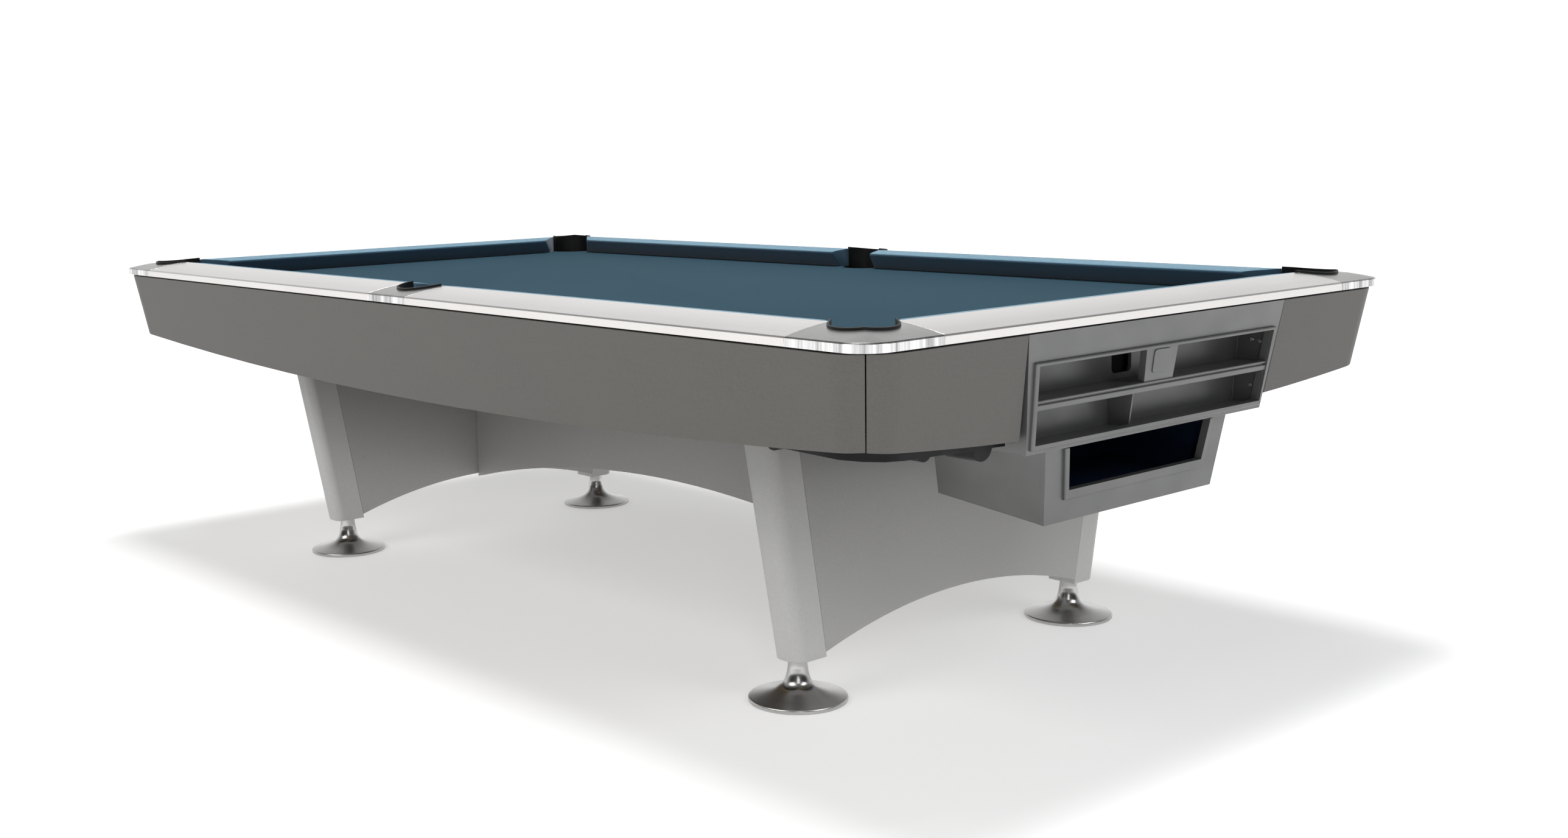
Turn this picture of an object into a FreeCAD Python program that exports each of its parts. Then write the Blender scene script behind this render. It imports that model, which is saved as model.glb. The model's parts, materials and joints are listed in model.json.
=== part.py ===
import FreeCAD, Part
import math
import os

# Nine-foot tournament pool table with a ball-return box.
# Millimetres. +X runs along the table towards the ball-return end, +Y across it, +Z up.
# The origin is on the floor under the middle of the table.

# --- playing area and rails -------------------------------------------------
PLAY_LENGTH = 2540.0            # cushion nose to cushion nose
PLAY_WIDTH = 1270.0
RAIL_WIDTH = 155.7              # cushion nose to the outside of the rail
CUSHION_DEPTH = 51.0            # nose to the rail's inner edge
BED_Z = 739.0                   # top of the bed cloth
CLOTH = 1.0
SLATE = 30.0
NOSE_Z = 775.6
RAIL_INNER_Z = 786.3            # rail top beside the cushion
RAIL_OUTER_Z = 770.7            # rail top at its outer edge
RAIL_CROWN = 1.6                # how far the rail top bulges above a straight slope
RAIL_EDGE = 2.5                 # chamfer between rail top and fascia
FASCIA_BOTTOM_Z = 753.9
RAIL_CORNER_R = 59.0
RAIL_SKIN = 6.5                 # thickness of the metal rail top
FASCIA_SKIN = 10.0
SEAM = 0.4                      # gap between neighbouring trim pieces
END_BOLT_Y = (430.0, 560.0)     # rail bolts under the end rails, clear of the ball box
SIDE_BOLT_X = (200.0, 660.0, 1120.0)
BOLT_INSET = 13.0               # from the slate's edge
BOLT_R = 5.0
BOLT_IN_RAIL = 22.0

HALF_PLAY_X = PLAY_LENGTH / 2
HALF_PLAY_Y = PLAY_WIDTH / 2
HALF_X = HALF_PLAY_X + RAIL_WIDTH
HALF_Y = HALF_PLAY_Y + RAIL_WIDTH
CUSHION_BACK_X = HALF_PLAY_X + CUSHION_DEPTH
CUSHION_BACK_Y = HALF_PLAY_Y + CUSHION_DEPTH
SLATE_TOP = BED_Z - CLOTH
SLATE_BOTTOM = SLATE_TOP - SLATE
SLATE_HALF_X = HALF_PLAY_X + 75.0
SLATE_HALF_Y = HALF_PLAY_Y + 75.0

# --- pockets ----------------------------------------------------------------
CORNER_MOUTH = 131.0
SIDE_MOUTH = 140.0
CORNER_CUT = math.radians(142.0)
SIDE_CUT = math.radians(104.0)
LINER_R = 56.0                  # inside of a pocket liner
LINER_WALL = 3.5
CORNER_CAP = 181.0              # corner cap's length along each side
SIDE_CAP_HALF = 76.5
CORNER_POCKET = (HALF_PLAY_X + 41.0, HALF_PLAY_Y + 41.0)
SIDE_POCKET_Y = HALF_PLAY_Y + 57.0
SLATE_HOLE_R = 61.5
RIM_R = 60.0                    # outside of the raised liner rim
RIM_RISE = 4.5

# --- aprons -----------------------------------------------------------------
APRON_TOP_Z = 750.7
APRON_LEAN = 0.18               # inward lean per millimetre going down
APRON_THICK = 18.0
APRON_INSET = 2.0
APRON_TOP_R = 88.0
APRON_LOW_R = 66.0
APRON_LOW_Z = 534.0
APRON_CORNER_Z = 592.5          # lower edge at the corners
APRON_SIDE_MID_Z = 541.5        # lower edge at the middle of a long side
APRON_END_MID_Z = 555.0
WING_HALF_LOW = 377.5           # the foot end's two wings start beside the ball box
WING_HALF_HIGH = 397.5
ARCH_END_INSET = 26.0

# --- frame and base ---------------------------------------------------------
FRAME_BOTTOM = 604.0
SIDE_BEAM_Y = (540.0, 585.0)
SIDE_BEAM_HALF_X = 1235.0
CROSS_BEAM_X = (-1210.0, -898.0, -448.0, 0.0, 448.0, 898.0, 1210.0)
CROSS_BEAM_WIDTH = 50.0
FOOT_X = 881.8
FOOT_Y = 424.1
LEG_BOTTOM = 87.0
LEG_IN_X = (855.0, 857.0)       # pedestal's inner face at the bottom and at the top
LEG_OUT_X = (926.5, 936.0)
LEG_END_Y = (466.0, 560.0)
LEG_SEAM_Y = (388.0, 479.0)
LEG_EDGE_R = (30.0, 22.0)       # rounding of the outer and of the inner upright edge
PEDESTAL_ARCH_Z = (96.0, 157.0)     # at the seams and at the middle
PEDESTAL_ARCH_HALF = 392.0
STRETCHER_HALF_THICK = 16.0
STRETCHER_ARCH_Z = (146.0, 255.0)
APRON_SEAM = 2.0                # open joint between two aprons at a corner
PANEL_GAP = 0.6

# --- levelling feet ---------------------------------------------------------
DISC_R = 98.0
STEM_R = 18.5
STUD_R = 9.5
STUD_TOP = 150.0
INSERT_R = 18.0
INSERT_HEIGHT = 30.0
FOOT_GAP = 0.3

# --- ball box ---------------------------------------------------------------
FACE_LEAN = 0.15
FACE_TOP_X = HALF_X - APRON_INSET
FACE_BOTTOM_Z = 536.7
FACE_THICK = 14.0
FACE_HALF_BOTTOM = 363.7
FACE_WIDEN = 0.1505              # half-width gained per millimetre going up
ROW_HALF_BOTTOM = 349.0         # half-width of the openings at the lower row's floor
ROW_WIDEN = 0.10
LOWER_ROW = (553.5, 613.5)
UPPER_ROW = (632.5, 693.5)
MOULDING_Z = (543.7, 700.5)
MOULDING_HALF_BOTTOM = 357.0
MOULDING_WIDEN = 0.10
MOULDING_PROUD = 6.0
HOUSING_WALL = 8.0
PARTITION_X = 1335.0            # back wall of both rows
HOUSING_BACK_X = 1276.0
TRAY_THICK = 4.0
BADGE_Z = 669.0
BADGE_HALF = 44.5
DIVIDER_Y = -52.0
BALL_HOLE_Y = -15.0
BALL_HOLE_WIDTH = 60.0
ROW_PORT_END = 340.0            # far edge of the lower row's ball port, on the -Y side
SCREW_PLACES = ((1368.0, 671.0), (1386.0, 668.0), (1374.0, 581.0))    # x, z on both end walls

# --- lower box --------------------------------------------------------------
LOWER_LEAN = 0.144
LOWER_TOP_Z = FACE_BOTTOM_Z
LOWER_BOTTOM_Z = 391.0
LOWER_FRONT_BOTTOM_X = 1348.3
LOWER_HALF_BOTTOM = 260.7
LOWER_WIDEN = 0.148
LOWER_REAR_X = 1104.0
LOWER_FLOOR_RISE = 0.107        # the floor rises towards the back
LOWER_WALL = 12.0
LOWER_OPENING_Z = 450.5
LOWER_OPENING_HALF = 207.0
LOWER_OPENING_WIDEN = 0.165
LINING = 3.0

# --- ball tracks ------------------------------------------------------------
TRACK_Y = HALF_PLAY_Y + 55.0
TRACK_HALF = 36.0
TRACK_HEIGHT = 46.0
TRACK_WALL = 3.5
TRACK_FAR_Z = 622.0
TRACK_NEAR_Z = {"left": 569.0, "right": 592.0}
TRACK_EXIT_Z = {"left": 551.0, "right": 576.0}
TRACK_END_FALL = 9.0             # fall along the run under the end apron
END_HANGERS = ((580.0, 18.0, 7.0), (434.0, 26.0, 21.0))    # y, radius, drop of the round clamps
SIDE_HANGER = (1145.0, 20.0, 8.0)      # x, radius, drop
TRACK_END_X = 1318.0
TRACK_BEND_R = 62.0


def vec(x, y, z=0.0):
    return FreeCAD.Vector(x, y, z)


def box(low, high):
    size = [high[i] - low[i] for i in range(3)]
    return Part.makeBox(size[0], size[1], size[2], vec(*low))


def polygon_wire(points):
    return Part.makePolygon(points + [points[0]])


def prism(outline, z0, z1):
    """Upright prism on a list of (x, y) points."""
    face = Part.Face(polygon_wire([vec(x, y, z0) for x, y in outline]))
    return face.extrude(vec(0, 0, z1 - z0))


def cylinder(x, y, radius, z0, z1):
    return Part.makeCylinder(radius, z1 - z0, vec(x, y, z0))


def fuse(shapes):
    result = shapes[0]
    for shape in shapes[1:]:
        result = result.fuse(shape)
    return result.removeSplitter()


def loft(wires):
    return Part.makeLoft(wires, True, True)


def rounded_rectangle(half_x, half_y, radius, z):
    """Closed wire: four sides and four corner arcs."""
    edges = []
    centres = [(half_x - radius, half_y - radius, 0), (radius - half_x, half_y - radius, 90),
               (radius - half_x, radius - half_y, 180), (half_x - radius, radius - half_y, 270)]
    corners = []
    for cx, cy, start in centres:
        arc = []
        for turn in (0, 45, 90):
            angle = math.radians(start + turn)
            arc.append(vec(cx + radius * math.cos(angle), cy + radius * math.sin(angle), z))
        corners.append(arc)
    for i in range(4):
        first, middle, last = corners[i]
        edges.append(Part.Arc(first, middle, last).toShape())
        edges.append(Part.makeLine(last, corners[(i + 1) % 4][0]))
    return Part.Wire(edges)


def stacked(levels):
    """Solid of the rail outline, inset by d at each height z in (d, z) levels."""
    wires = []
    for inset, z in levels:
        radius = max(RAIL_CORNER_R - inset, 0.5)
        wires.append(rounded_rectangle(HALF_X - inset, HALF_Y - inset, radius, z))
    return fuse([loft(wires[i:i + 2]) for i in range(len(wires) - 1)])


def mirrored(shape, sign_x, sign_y):
    """The shape made for +X, +Y, moved to another quarter of the table."""
    result = shape
    if sign_x < 0:
        result = result.mirror(vec(0, 0, 0), vec(1, 0, 0))
    if sign_y < 0:
        result = result.mirror(vec(0, 0, 0), vec(0, 1, 0))
    return result


def save(name, shape):
    solids = shape.Solids
    result = solids[0] if len(solids) == 1 else Part.makeCompound(solids)
    result.exportStep("parts/" + name + ".step")
    volume = sum(solid.Volume for solid in solids) / 1e6
    print("%-24s solids %2d  valid %s  litres %8.3f" % (name, len(solids), result.isValid(), volume))


# Quarters of the table: left is -Y and right is +Y as seen from the middle towards +X.
CORNERS = {"foot_left": (1, -1), "foot_right": (1, 1), "head_left": (-1, -1), "head_right": (-1, 1)}
SIDES = {"left": -1, "right": 1}


# --- rails ------------------------------------------------------------------

def rail_top_z(inset):
    """Height of the gently crowned rail top, inset from its outer face."""
    across = (inset - RAIL_EDGE) / (RAIL_WIDTH - CUSHION_DEPTH - RAIL_EDGE)
    slope = RAIL_OUTER_Z + (RAIL_INNER_Z - RAIL_OUTER_Z) * across
    return slope + 4 * RAIL_CROWN * across * (1 - across)


def rail_levels():
    """(inset, z) levels of the rails' outer skin and of the core inside it."""
    bend = RAIL_CORNER_R - RAIL_EDGE
    back = RAIL_WIDTH - CUSHION_DEPTH
    insets = [RAIL_EDGE, 0.4 * bend, 0.7 * bend, bend, (bend + back) / 2, back]
    outer = [(0, FASCIA_BOTTOM_Z), (0, RAIL_OUTER_Z - RAIL_EDGE)]
    outer += [(inset, rail_top_z(inset)) for inset in insets]
    inner = [(FASCIA_SKIN, FASCIA_BOTTOM_Z), (FASCIA_SKIN, rail_top_z(FASCIA_SKIN) - RAIL_SKIN)]
    inner += [(inset, rail_top_z(inset) - RAIL_SKIN) for inset in (bend, back)]
    return outer, inner


def rail_footprints():
    """Plan prisms for the six rails; each runs between two caps."""
    z0, z1 = FASCIA_BOTTOM_Z - 20.0, RAIL_INNER_Z + 20.0
    end_y = HALF_Y - CORNER_CAP - SEAM
    end_x = HALF_X - CORNER_CAP - SEAM
    inner_x = SIDE_CAP_HALF + SEAM
    prisms = {}
    for end, sx in (("foot", 1), ("head", -1)):
        shape = box((CUSHION_BACK_X, -end_y, z0), (HALF_X + 5, end_y, z1))
        prisms[end + "_end"] = mirrored(shape, sx, 1)
        for side, sy in SIDES.items():
            shape = box((inner_x, CUSHION_BACK_Y, z0), (end_x, HALF_Y + 5, z1))
            prisms[end + "_" + side] = mirrored(shape, sx, sy)
    return prisms


def cushion_profile():
    """(distance out from the nose, z) points round one cloth-covered cushion."""
    return [(0.0, NOSE_Z), (1.5, NOSE_Z + 2.6), (6.0, NOSE_Z + 4.4), (CUSHION_DEPTH, RAIL_INNER_Z),
            (CUSHION_DEPTH, BED_Z), (27.0, BED_Z), (21.0, BED_Z + 8.0), (1.5, NOSE_Z - 3.0)]


def cushion(start, end, start_slope, end_slope, to_world):
    """Cushion from start to end of its nose; the ends lean by slope per millimetre of depth."""
    wires = []
    for place, slope in ((start, start_slope), ((start + end) / 2, 0.0), (end, end_slope)):
        points = [to_world(place + slope * depth, depth, z) for depth, z in cushion_profile()]
        wires.append(polygon_wire(points))
    return fuse([loft(wires[:2]), loft(wires[1:])])


def cushions():
    corner_tip = CORNER_MOUTH / math.sqrt(2)
    corner_slope = -1 / math.tan(CORNER_CUT)
    side_slope = -1 / math.tan(SIDE_CUT)
    shapes = {}
    for end, sx in (("foot", 1), ("head", -1)):
        tip = HALF_PLAY_Y - corner_tip
        place = lambda along, depth, z, s=sx: vec(s * (HALF_PLAY_X + depth), along, z)
        shapes[end + "_end"] = cushion(-tip, tip, -corner_slope, corner_slope, place)
        for side, sy in SIDES.items():
            place = lambda along, depth, z, s=sx, t=sy: vec(s * along, t * (HALF_PLAY_Y + depth), z)
            shapes[end + "_" + side] = cushion(SIDE_MOUTH / 2, HALF_PLAY_X - corner_tip,
                                               -side_slope, corner_slope, place)
    return shapes


def rail_bolt_places():
    places = []
    for sx, sy in CORNERS.values():
        places += [(sx * x, sy * (SLATE_HALF_Y - BOLT_INSET)) for x in SIDE_BOLT_X]
        places += [(sx * (SLATE_HALF_X - BOLT_INSET), sy * y) for y in END_BOLT_Y]
    return places


def rail_bolt_holes(z0, z1):
    return Part.makeCompound([cylinder(x, y, BOLT_R, z0, z1) for x, y in rail_bolt_places()])


def sub_rails(inner_form, footprints):
    """Wooden rail cores: they stand on the bed and fill the metal tops."""
    lean = APRON_LEAN * (APRON_TOP_Z - BED_Z)
    out = APRON_INSET + APRON_THICK
    low = loft([rounded_rectangle(HALF_X - out - lean, HALF_Y - out - lean, 40.0, BED_Z),
                rounded_rectangle(HALF_X - out, HALF_Y - out, 40.0, APRON_TOP_Z)])
    neck = loft([rounded_rectangle(HALF_X - out, HALF_Y - out, 40.0, z)
                 for z in (APRON_TOP_Z, FASCIA_BOTTOM_Z)])
    form = fuse([low, neck]).fuse(inner_form)
    cores = Part.makeCompound([form.common(footprint) for footprint in footprints.values()])
    return cores.cut(rail_bolt_holes(BED_Z - 5, BED_Z + BOLT_IN_RAIL))


def rail_bolts():
    bolts = []
    for x, y in rail_bolt_places():
        washer_z = SLATE_BOTTOM - 3.0
        head = cylinder(x, y, 9.0, washer_z - 7.0, washer_z)
        washer = cylinder(x, y, 12.0, washer_z, SLATE_BOTTOM)
        shank = cylinder(x, y, BOLT_R, washer_z, BED_Z + BOLT_IN_RAIL)
        bolts.append(fuse([head, washer, shank]))
    return Part.makeCompound(bolts)


# --- pockets ----------------------------------------------------------------

def corner_frame(out, across):
    """Corner pocket's own axes, out along the table's diagonal, as x and y."""
    step = 1 / math.sqrt(2)
    x = CORNER_POCKET[0] + (out + across) * step
    y = CORNER_POCKET[1] + (out - across) * step
    return x, y


def side_frame(out, across):
    return across, SIDE_POCKET_Y + out


def throat_outline(frame, radius, tip_out, tip_across):
    """Plan wire of a liner: a round back whose sides run straight to two tips."""
    reach = math.hypot(tip_out, tip_across)
    bearing = math.atan2(tip_across, tip_out)
    if reach > radius + 0.5:
        bearing -= math.acos(radius / reach)
    tangent = (radius * math.cos(bearing), radius * math.sin(bearing))
    tips = [frame(tip_out, tip_across), frame(tip_out, -tip_across)]
    turn = [frame(*tangent), frame(radius, 0.0), frame(tangent[0], -tangent[1])]
    points = [vec(x, y) for x, y in turn]
    edges = [Part.makeLine(vec(*tips[0]), points[0])]
    edges.append(Part.Arc(points[0], points[1], points[2]).toShape())
    edges.append(Part.makeLine(points[2], vec(*tips[1])))
    edges.append(Part.makeLine(vec(*tips[1]), vec(*tips[0])))
    return Part.Wire(edges)


def throat_prism(frame, radius, tip_out, tip_across, z0, z1):
    wire = throat_outline(frame, radius, tip_out, tip_across)
    solid = Part.Face(wire).extrude(vec(0, 0, z1 - z0))
    solid.translate(vec(0, 0, z0))
    return solid


def pocket_tips(kind):
    """Where the liner's two tips meet the cushions' back corners: out, across."""
    if kind == "corner":
        back = CORNER_MOUTH / math.sqrt(2) + CUSHION_DEPTH / math.tan(CORNER_CUT)
        x, y = CUSHION_BACK_X, HALF_PLAY_Y - back
        dx, dy = x - CORNER_POCKET[0], y - CORNER_POCKET[1]
        return (dx + dy) / math.sqrt(2), (dx - dy) / math.sqrt(2)
    return CUSHION_BACK_Y - SIDE_POCKET_Y, LINER_R + LINER_WALL - 0.3


def rim_cutter(kind):
    """Everything that the liner takes up in a cap."""
    frame = corner_frame if kind == "corner" else side_frame
    out, across = pocket_tips(kind)
    x, y = frame(0, 0)
    throat = throat_prism(frame, LINER_R + LINER_WALL, out, across, 700.0, 800.0)
    return throat.fuse(cylinder(x, y, RIM_R, 700.0, 800.0))


def table_side(kind):
    """The region on the playing side of the line through the liner's tips."""
    out, _ = pocket_tips(kind)
    if kind == "corner":
        corners = [corner_frame(out, 150), corner_frame(out, -150)]
        corners += [corner_frame(out - 200, -150), corner_frame(out - 200, 150)]
    else:
        corners = [side_frame(out, 150), side_frame(out, -150)]
        corners += [side_frame(out - 200, -150), side_frame(out - 200, 150)]
    return prism(corners, 700.0, 800.0)


def caps(outer_form):
    z0, z1 = FASCIA_BOTTOM_Z - 5.0, RAIL_INNER_Z + 5.0
    start_x, start_y = HALF_X - CORNER_CAP, HALF_Y - CORNER_CAP
    corner_plan = box((start_x, start_y, z0), (HALF_X + 5, HALF_Y + 5, z1))
    corner = outer_form.common(corner_plan).cut(table_side("corner")).cut(rim_cutter("corner"))
    side_plan = box((-SIDE_CAP_HALF, CUSHION_BACK_Y, z0), (SIDE_CAP_HALF, HALF_Y + 5, z1))
    side = outer_form.common(side_plan).cut(rim_cutter("side"))
    return corner, side


def liner(kind, raised_form, boot_bottom):
    """Moulded pocket liner: raised rim, wall behind the ball's fall, sleeve and boot."""
    frame = corner_frame if kind == "corner" else side_frame
    out, across = pocket_tips(kind)
    x, y = frame(0, 0)
    rim = raised_form.common(rim_cutter(kind)).cut(box((-2000, -2000, 0), (2000, 2000, 757.0)))
    wall = throat_prism(frame, LINER_R + LINER_WALL, out, across, BED_Z, 765.0)
    upper = rim.fuse(wall).cut(table_side(kind))
    upper = upper.cut(throat_prism(frame, LINER_R, out - 0.01, across - LINER_WALL, 700.0, 800.0))
    if kind == "corner":
        upper = upper.common(box((HALF_X - CORNER_CAP, HALF_Y - CORNER_CAP, 0), (HALF_X, HALF_Y, 900)))
    sleeve = cylinder(x, y, LINER_R + LINER_WALL, 700.0, BED_Z)
    boot = Part.makeCone(40.0 + LINER_WALL, LINER_R + LINER_WALL, 700.0 - boot_bottom,
                         vec(x, y, boot_bottom))
    outside = fuse([upper, sleeve, boot])
    hole = cylinder(x, y, LINER_R, 700.0, BED_Z + 30.0)
    funnel = Part.makeCone(40.0, LINER_R, 700.0 - boot_bottom, vec(x, y, boot_bottom))
    return outside.cut(hole).cut(funnel)


def track_z(side, x):
    """Underside of the long run of a ball track."""
    run = (x + SLATE_HALF_X) / (TRACK_END_X + SLATE_HALF_X)
    return TRACK_FAR_Z + (TRACK_NEAR_Z[side] - TRACK_FAR_Z) * run


def track_section(x, y, z, heading, spread):
    """U-shaped section across a track, as a wire."""
    half, inner = TRACK_HALF, TRACK_HALF - TRACK_WALL
    shape = [(-half, 0), (half, 0), (half, TRACK_HEIGHT), (inner, TRACK_HEIGHT),
             (inner, TRACK_WALL), (-inner, TRACK_WALL), (-inner, TRACK_HEIGHT), (-half, TRACK_HEIGHT)]
    across = (-math.sin(heading) * spread, math.cos(heading) * spread)
    return polygon_wire([vec(x + s * across[0], y + s * across[1], z + h) for s, h in shape])


def ball_track(side):
    """One continuous gully: along its side, round the corner and to the ball box."""
    bend_x, bend_y = TRACK_END_X - TRACK_BEND_R, TRACK_Y - TRACK_BEND_R
    near_z, exit_z = TRACK_NEAR_Z[side], TRACK_EXIT_Z[side]
    exit_y = face_half()(exit_z + TRACK_HEIGHT) + 1.0
    wires = [track_section(-SLATE_HALF_X + 10.0, TRACK_Y, TRACK_FAR_Z, 0.0, 1.0)]
    steps = 4
    spread = 1 / math.cos(math.pi / 4 / steps)
    for i in range(steps + 1):
        turn = math.pi / 2 * i / steps
        x = bend_x + TRACK_BEND_R * math.sin(turn) * (1.0 if i in (0, steps) else spread)
        y = bend_y + TRACK_BEND_R * math.cos(turn) * (1.0 if i in (0, steps) else spread)
        z = near_z + (exit_z + TRACK_END_FALL - near_z) * i / steps
        wires.append(track_section(x, y, z, -turn, 1.0 if i in (0, steps) else spread))
    wires.append(track_section(TRACK_END_X, exit_y, exit_z, -math.pi / 2, 1.0))
    pieces = [loft(wires[i:i + 2]) for i in range(len(wires) - 1)]
    for y, radius, drop in END_HANGERS:
        under = exit_z + TRACK_END_FALL * (y - exit_y) / (bend_y - exit_y)
        pieces.append(hanger((TRACK_END_X, y, under), (1, 0, 0), radius, drop))
    x, radius, drop = SIDE_HANGER
    pieces.append(hanger((x, TRACK_Y, track_z(side, x)), (0, 1, 0), radius, drop))
    return fuse(pieces)


def hanger(place, across, radius, drop):
    """Rounded clamp under a track, across its run."""
    x, y, z = place
    centre = vec(x, y, z - drop + radius)
    axis = vec(*across)
    drum = Part.makeCylinder(radius, 2 * TRACK_HALF, centre - axis * TRACK_HALF, axis)
    return drum.common(box((x - 60, y - 60, z - drop - 1), (x + 60, y + 60, z + 1.5)))


# --- bed --------------------------------------------------------------------

def pocket_holes(z0, z1):
    holes = []
    for sx, sy in CORNERS.values():
        holes.append(cylinder(sx * CORNER_POCKET[0], sy * CORNER_POCKET[1], SLATE_HOLE_R, z0, z1))
    for sy in SIDES.values():
        holes.append(cylinder(0, sy * SIDE_POCKET_Y, SLATE_HOLE_R, z0, z1))
    return Part.makeCompound(holes)


def slates():
    whole = box((-SLATE_HALF_X, -SLATE_HALF_Y, SLATE_BOTTOM), (SLATE_HALF_X, SLATE_HALF_Y, SLATE_TOP))
    whole = whole.cut(pocket_holes(SLATE_BOTTOM - 5, SLATE_TOP + 5))
    whole = whole.cut(rail_bolt_holes(SLATE_BOTTOM - 5, SLATE_TOP + 5))
    third = 2 * SLATE_HALF_X / 3
    pieces = {}
    for i, name in enumerate(("slate_head", "slate_middle", "slate_foot")):
        low = -SLATE_HALF_X + i * third
        pieces[name] = whole.common(box((low, -800, 600), (low + third, 800, 800)))
    return pieces


def bed_cloth():
    sheet = box((-SLATE_HALF_X, -SLATE_HALF_Y, SLATE_TOP), (SLATE_HALF_X, SLATE_HALF_Y, BED_Z))
    sheet = sheet.cut(pocket_holes(SLATE_TOP - 5, BED_Z + 5))
    return sheet.cut(rail_bolt_holes(SLATE_TOP - 5, BED_Z + 5))


# --- aprons -----------------------------------------------------------------

def arc_below(axis, middle_z, corner_z, half_span):
    """Solid under a shallow arc whose chord runs along X or Y."""
    radius = (half_span ** 2 + (corner_z - middle_z) ** 2) / (2 * (corner_z - middle_z))
    reach = half_span * 1.15
    edge_z = middle_z + radius - math.sqrt(radius ** 2 - reach ** 2)
    def place(along, z):
        return vec(along, -1000, z) if axis == "X" else vec(-2000, along, z)
    arc = Part.Arc(place(-reach, edge_z), place(0, middle_z), place(reach, edge_z)).toShape()
    sides = [Part.makeLine(place(reach, edge_z), place(reach, middle_z - 200)),
             Part.makeLine(place(reach, middle_z - 200), place(-reach, middle_z - 200)),
             Part.makeLine(place(-reach, middle_z - 200), place(-reach, edge_z))]
    face = Part.Face(Part.Wire([arc] + sides))
    return face.extrude(vec(0, 2000, 0) if axis == "X" else vec(4000, 0, 0))


def apron_shell():
    drop = APRON_TOP_Z - APRON_LOW_Z
    def form(thickness):
        top = APRON_INSET + thickness
        low = top + APRON_LEAN * drop
        return loft([rounded_rectangle(HALF_X - low, HALF_Y - low, APRON_LOW_R - thickness, APRON_LOW_Z),
                     rounded_rectangle(HALF_X - top, HALF_Y - top, APRON_TOP_R - thickness, APRON_TOP_Z)])
    return form(0.0).cut(form(APRON_THICK))


def aprons():
    """Four sides mitred in the middle of each rounded corner."""
    shell = apron_shell()
    centre = (HALF_X - APRON_TOP_R, HALF_Y - APRON_TOP_R)
    reach = 300.0
    gap = APRON_SEAM / math.sqrt(2)
    z0, z1 = 400.0, 800.0
    long_plan = [(-centre[0] + gap, centre[1]), (-centre[0] - reach + gap, centre[1] + reach),
                 (centre[0] + reach - gap, centre[1] + reach), (centre[0] - gap, centre[1])]
    long_plan += [(centre[0] - 200, centre[1] - 120), (-centre[0] + 200, centre[1] - 120)]
    end_plan = [(centre[0], centre[1] - gap), (centre[0] + reach, centre[1] + reach - gap),
                (centre[0] + reach, -centre[1] - reach + gap), (centre[0], gap - centre[1])]
    long_side = shell.common(prism(long_plan, z0, z1))
    long_side = long_side.cut(arc_below("X", APRON_SIDE_MID_Z, APRON_CORNER_Z, HALF_X - ARCH_END_INSET))
    end_side = shell.common(prism(end_plan, z0, z1))
    end_side = end_side.cut(arc_below("Y", APRON_END_MID_Z, APRON_CORNER_Z, HALF_Y - ARCH_END_INSET))
    back, low, high = 1200.0, WING_HALF_LOW, WING_HALF_HIGH
    window = Part.Face(polygon_wire([vec(back, -low, APRON_LOW_Z), vec(back, low, APRON_LOW_Z),
                                     vec(back, high, 760), vec(back, -high, 760)]))
    wings = end_side.cut(window.extrude(vec(300, 0, 0)))
    pieces = {"apron_left": mirrored(long_side, 1, -1), "apron_right": long_side}
    pieces["apron_head"] = mirrored(end_side, -1, 1)
    for wing in wings.Solids:
        side = "left" if wing.CenterOfMass.y < 0 else "right"
        pieces["apron_foot_" + side] = wing
    return pieces


# --- frame and base ---------------------------------------------------------

def frame_parts():
    low, high = SIDE_BEAM_Y
    beam = box((-SIDE_BEAM_HALF_X, low, FRAME_BOTTOM), (SIDE_BEAM_HALF_X, high, SLATE_BOTTOM))
    beams = [mirrored(beam, 1, sy) for sy in (1, -1)]
    cross = []
    for x in CROSS_BEAM_X:
        half = CROSS_BEAM_WIDTH / 2
        cross.append(box((x - half, -low, FRAME_BOTTOM), (x + half, low, SLATE_BOTTOM)))
    return Part.makeCompound(beams), Part.makeCompound(cross)


def column_section(level):
    """Plan wire of the foot-right leg column, level 0 at its bottom and 1 at its top."""
    z = LEG_BOTTOM if level == 0 else FRAME_BOTTOM
    x_in, x_out = LEG_IN_X[level], LEG_OUT_X[level]
    y_end, y_seam = LEG_END_Y[level], LEG_SEAM_Y[level]
    r_out, r_in = LEG_EDGE_R
    lean = 1 - 1 / math.sqrt(2)
    points = [(x_in, y_seam), (x_out, y_seam), (x_out, y_end - r_out)]
    edges = [Part.makeLine(vec(*points[0], z), vec(*points[1], z)),
             Part.makeLine(vec(*points[1], z), vec(*points[2], z))]
    edges.append(Part.Arc(vec(x_out, y_end - r_out, z), vec(x_out - r_out * lean, y_end - r_out * lean, z),
                          vec(x_out - r_out, y_end, z)).toShape())
    edges.append(Part.makeLine(vec(x_out - r_out, y_end, z), vec(x_in + r_in, y_end, z)))
    edges.append(Part.Arc(vec(x_in + r_in, y_end, z), vec(x_in + r_in * lean, y_end - r_in * lean, z),
                          vec(x_in, y_end - r_in, z)).toShape())
    edges.append(Part.makeLine(vec(x_in, y_end - r_in, z), vec(x_in, y_seam, z)))
    return Part.Wire(edges)


def leg_column():
    column = loft([column_section(0), column_section(1)])
    column = column.cut(cylinder(FOOT_X, FOOT_Y, INSERT_R, LEG_BOTTOM - 5, LEG_BOTTOM + INSERT_HEIGHT))
    return column.cut(cylinder(FOOT_X, FOOT_Y, STUD_R + 1.0, LEG_BOTTOM, STUD_TOP + 20.0))


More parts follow.
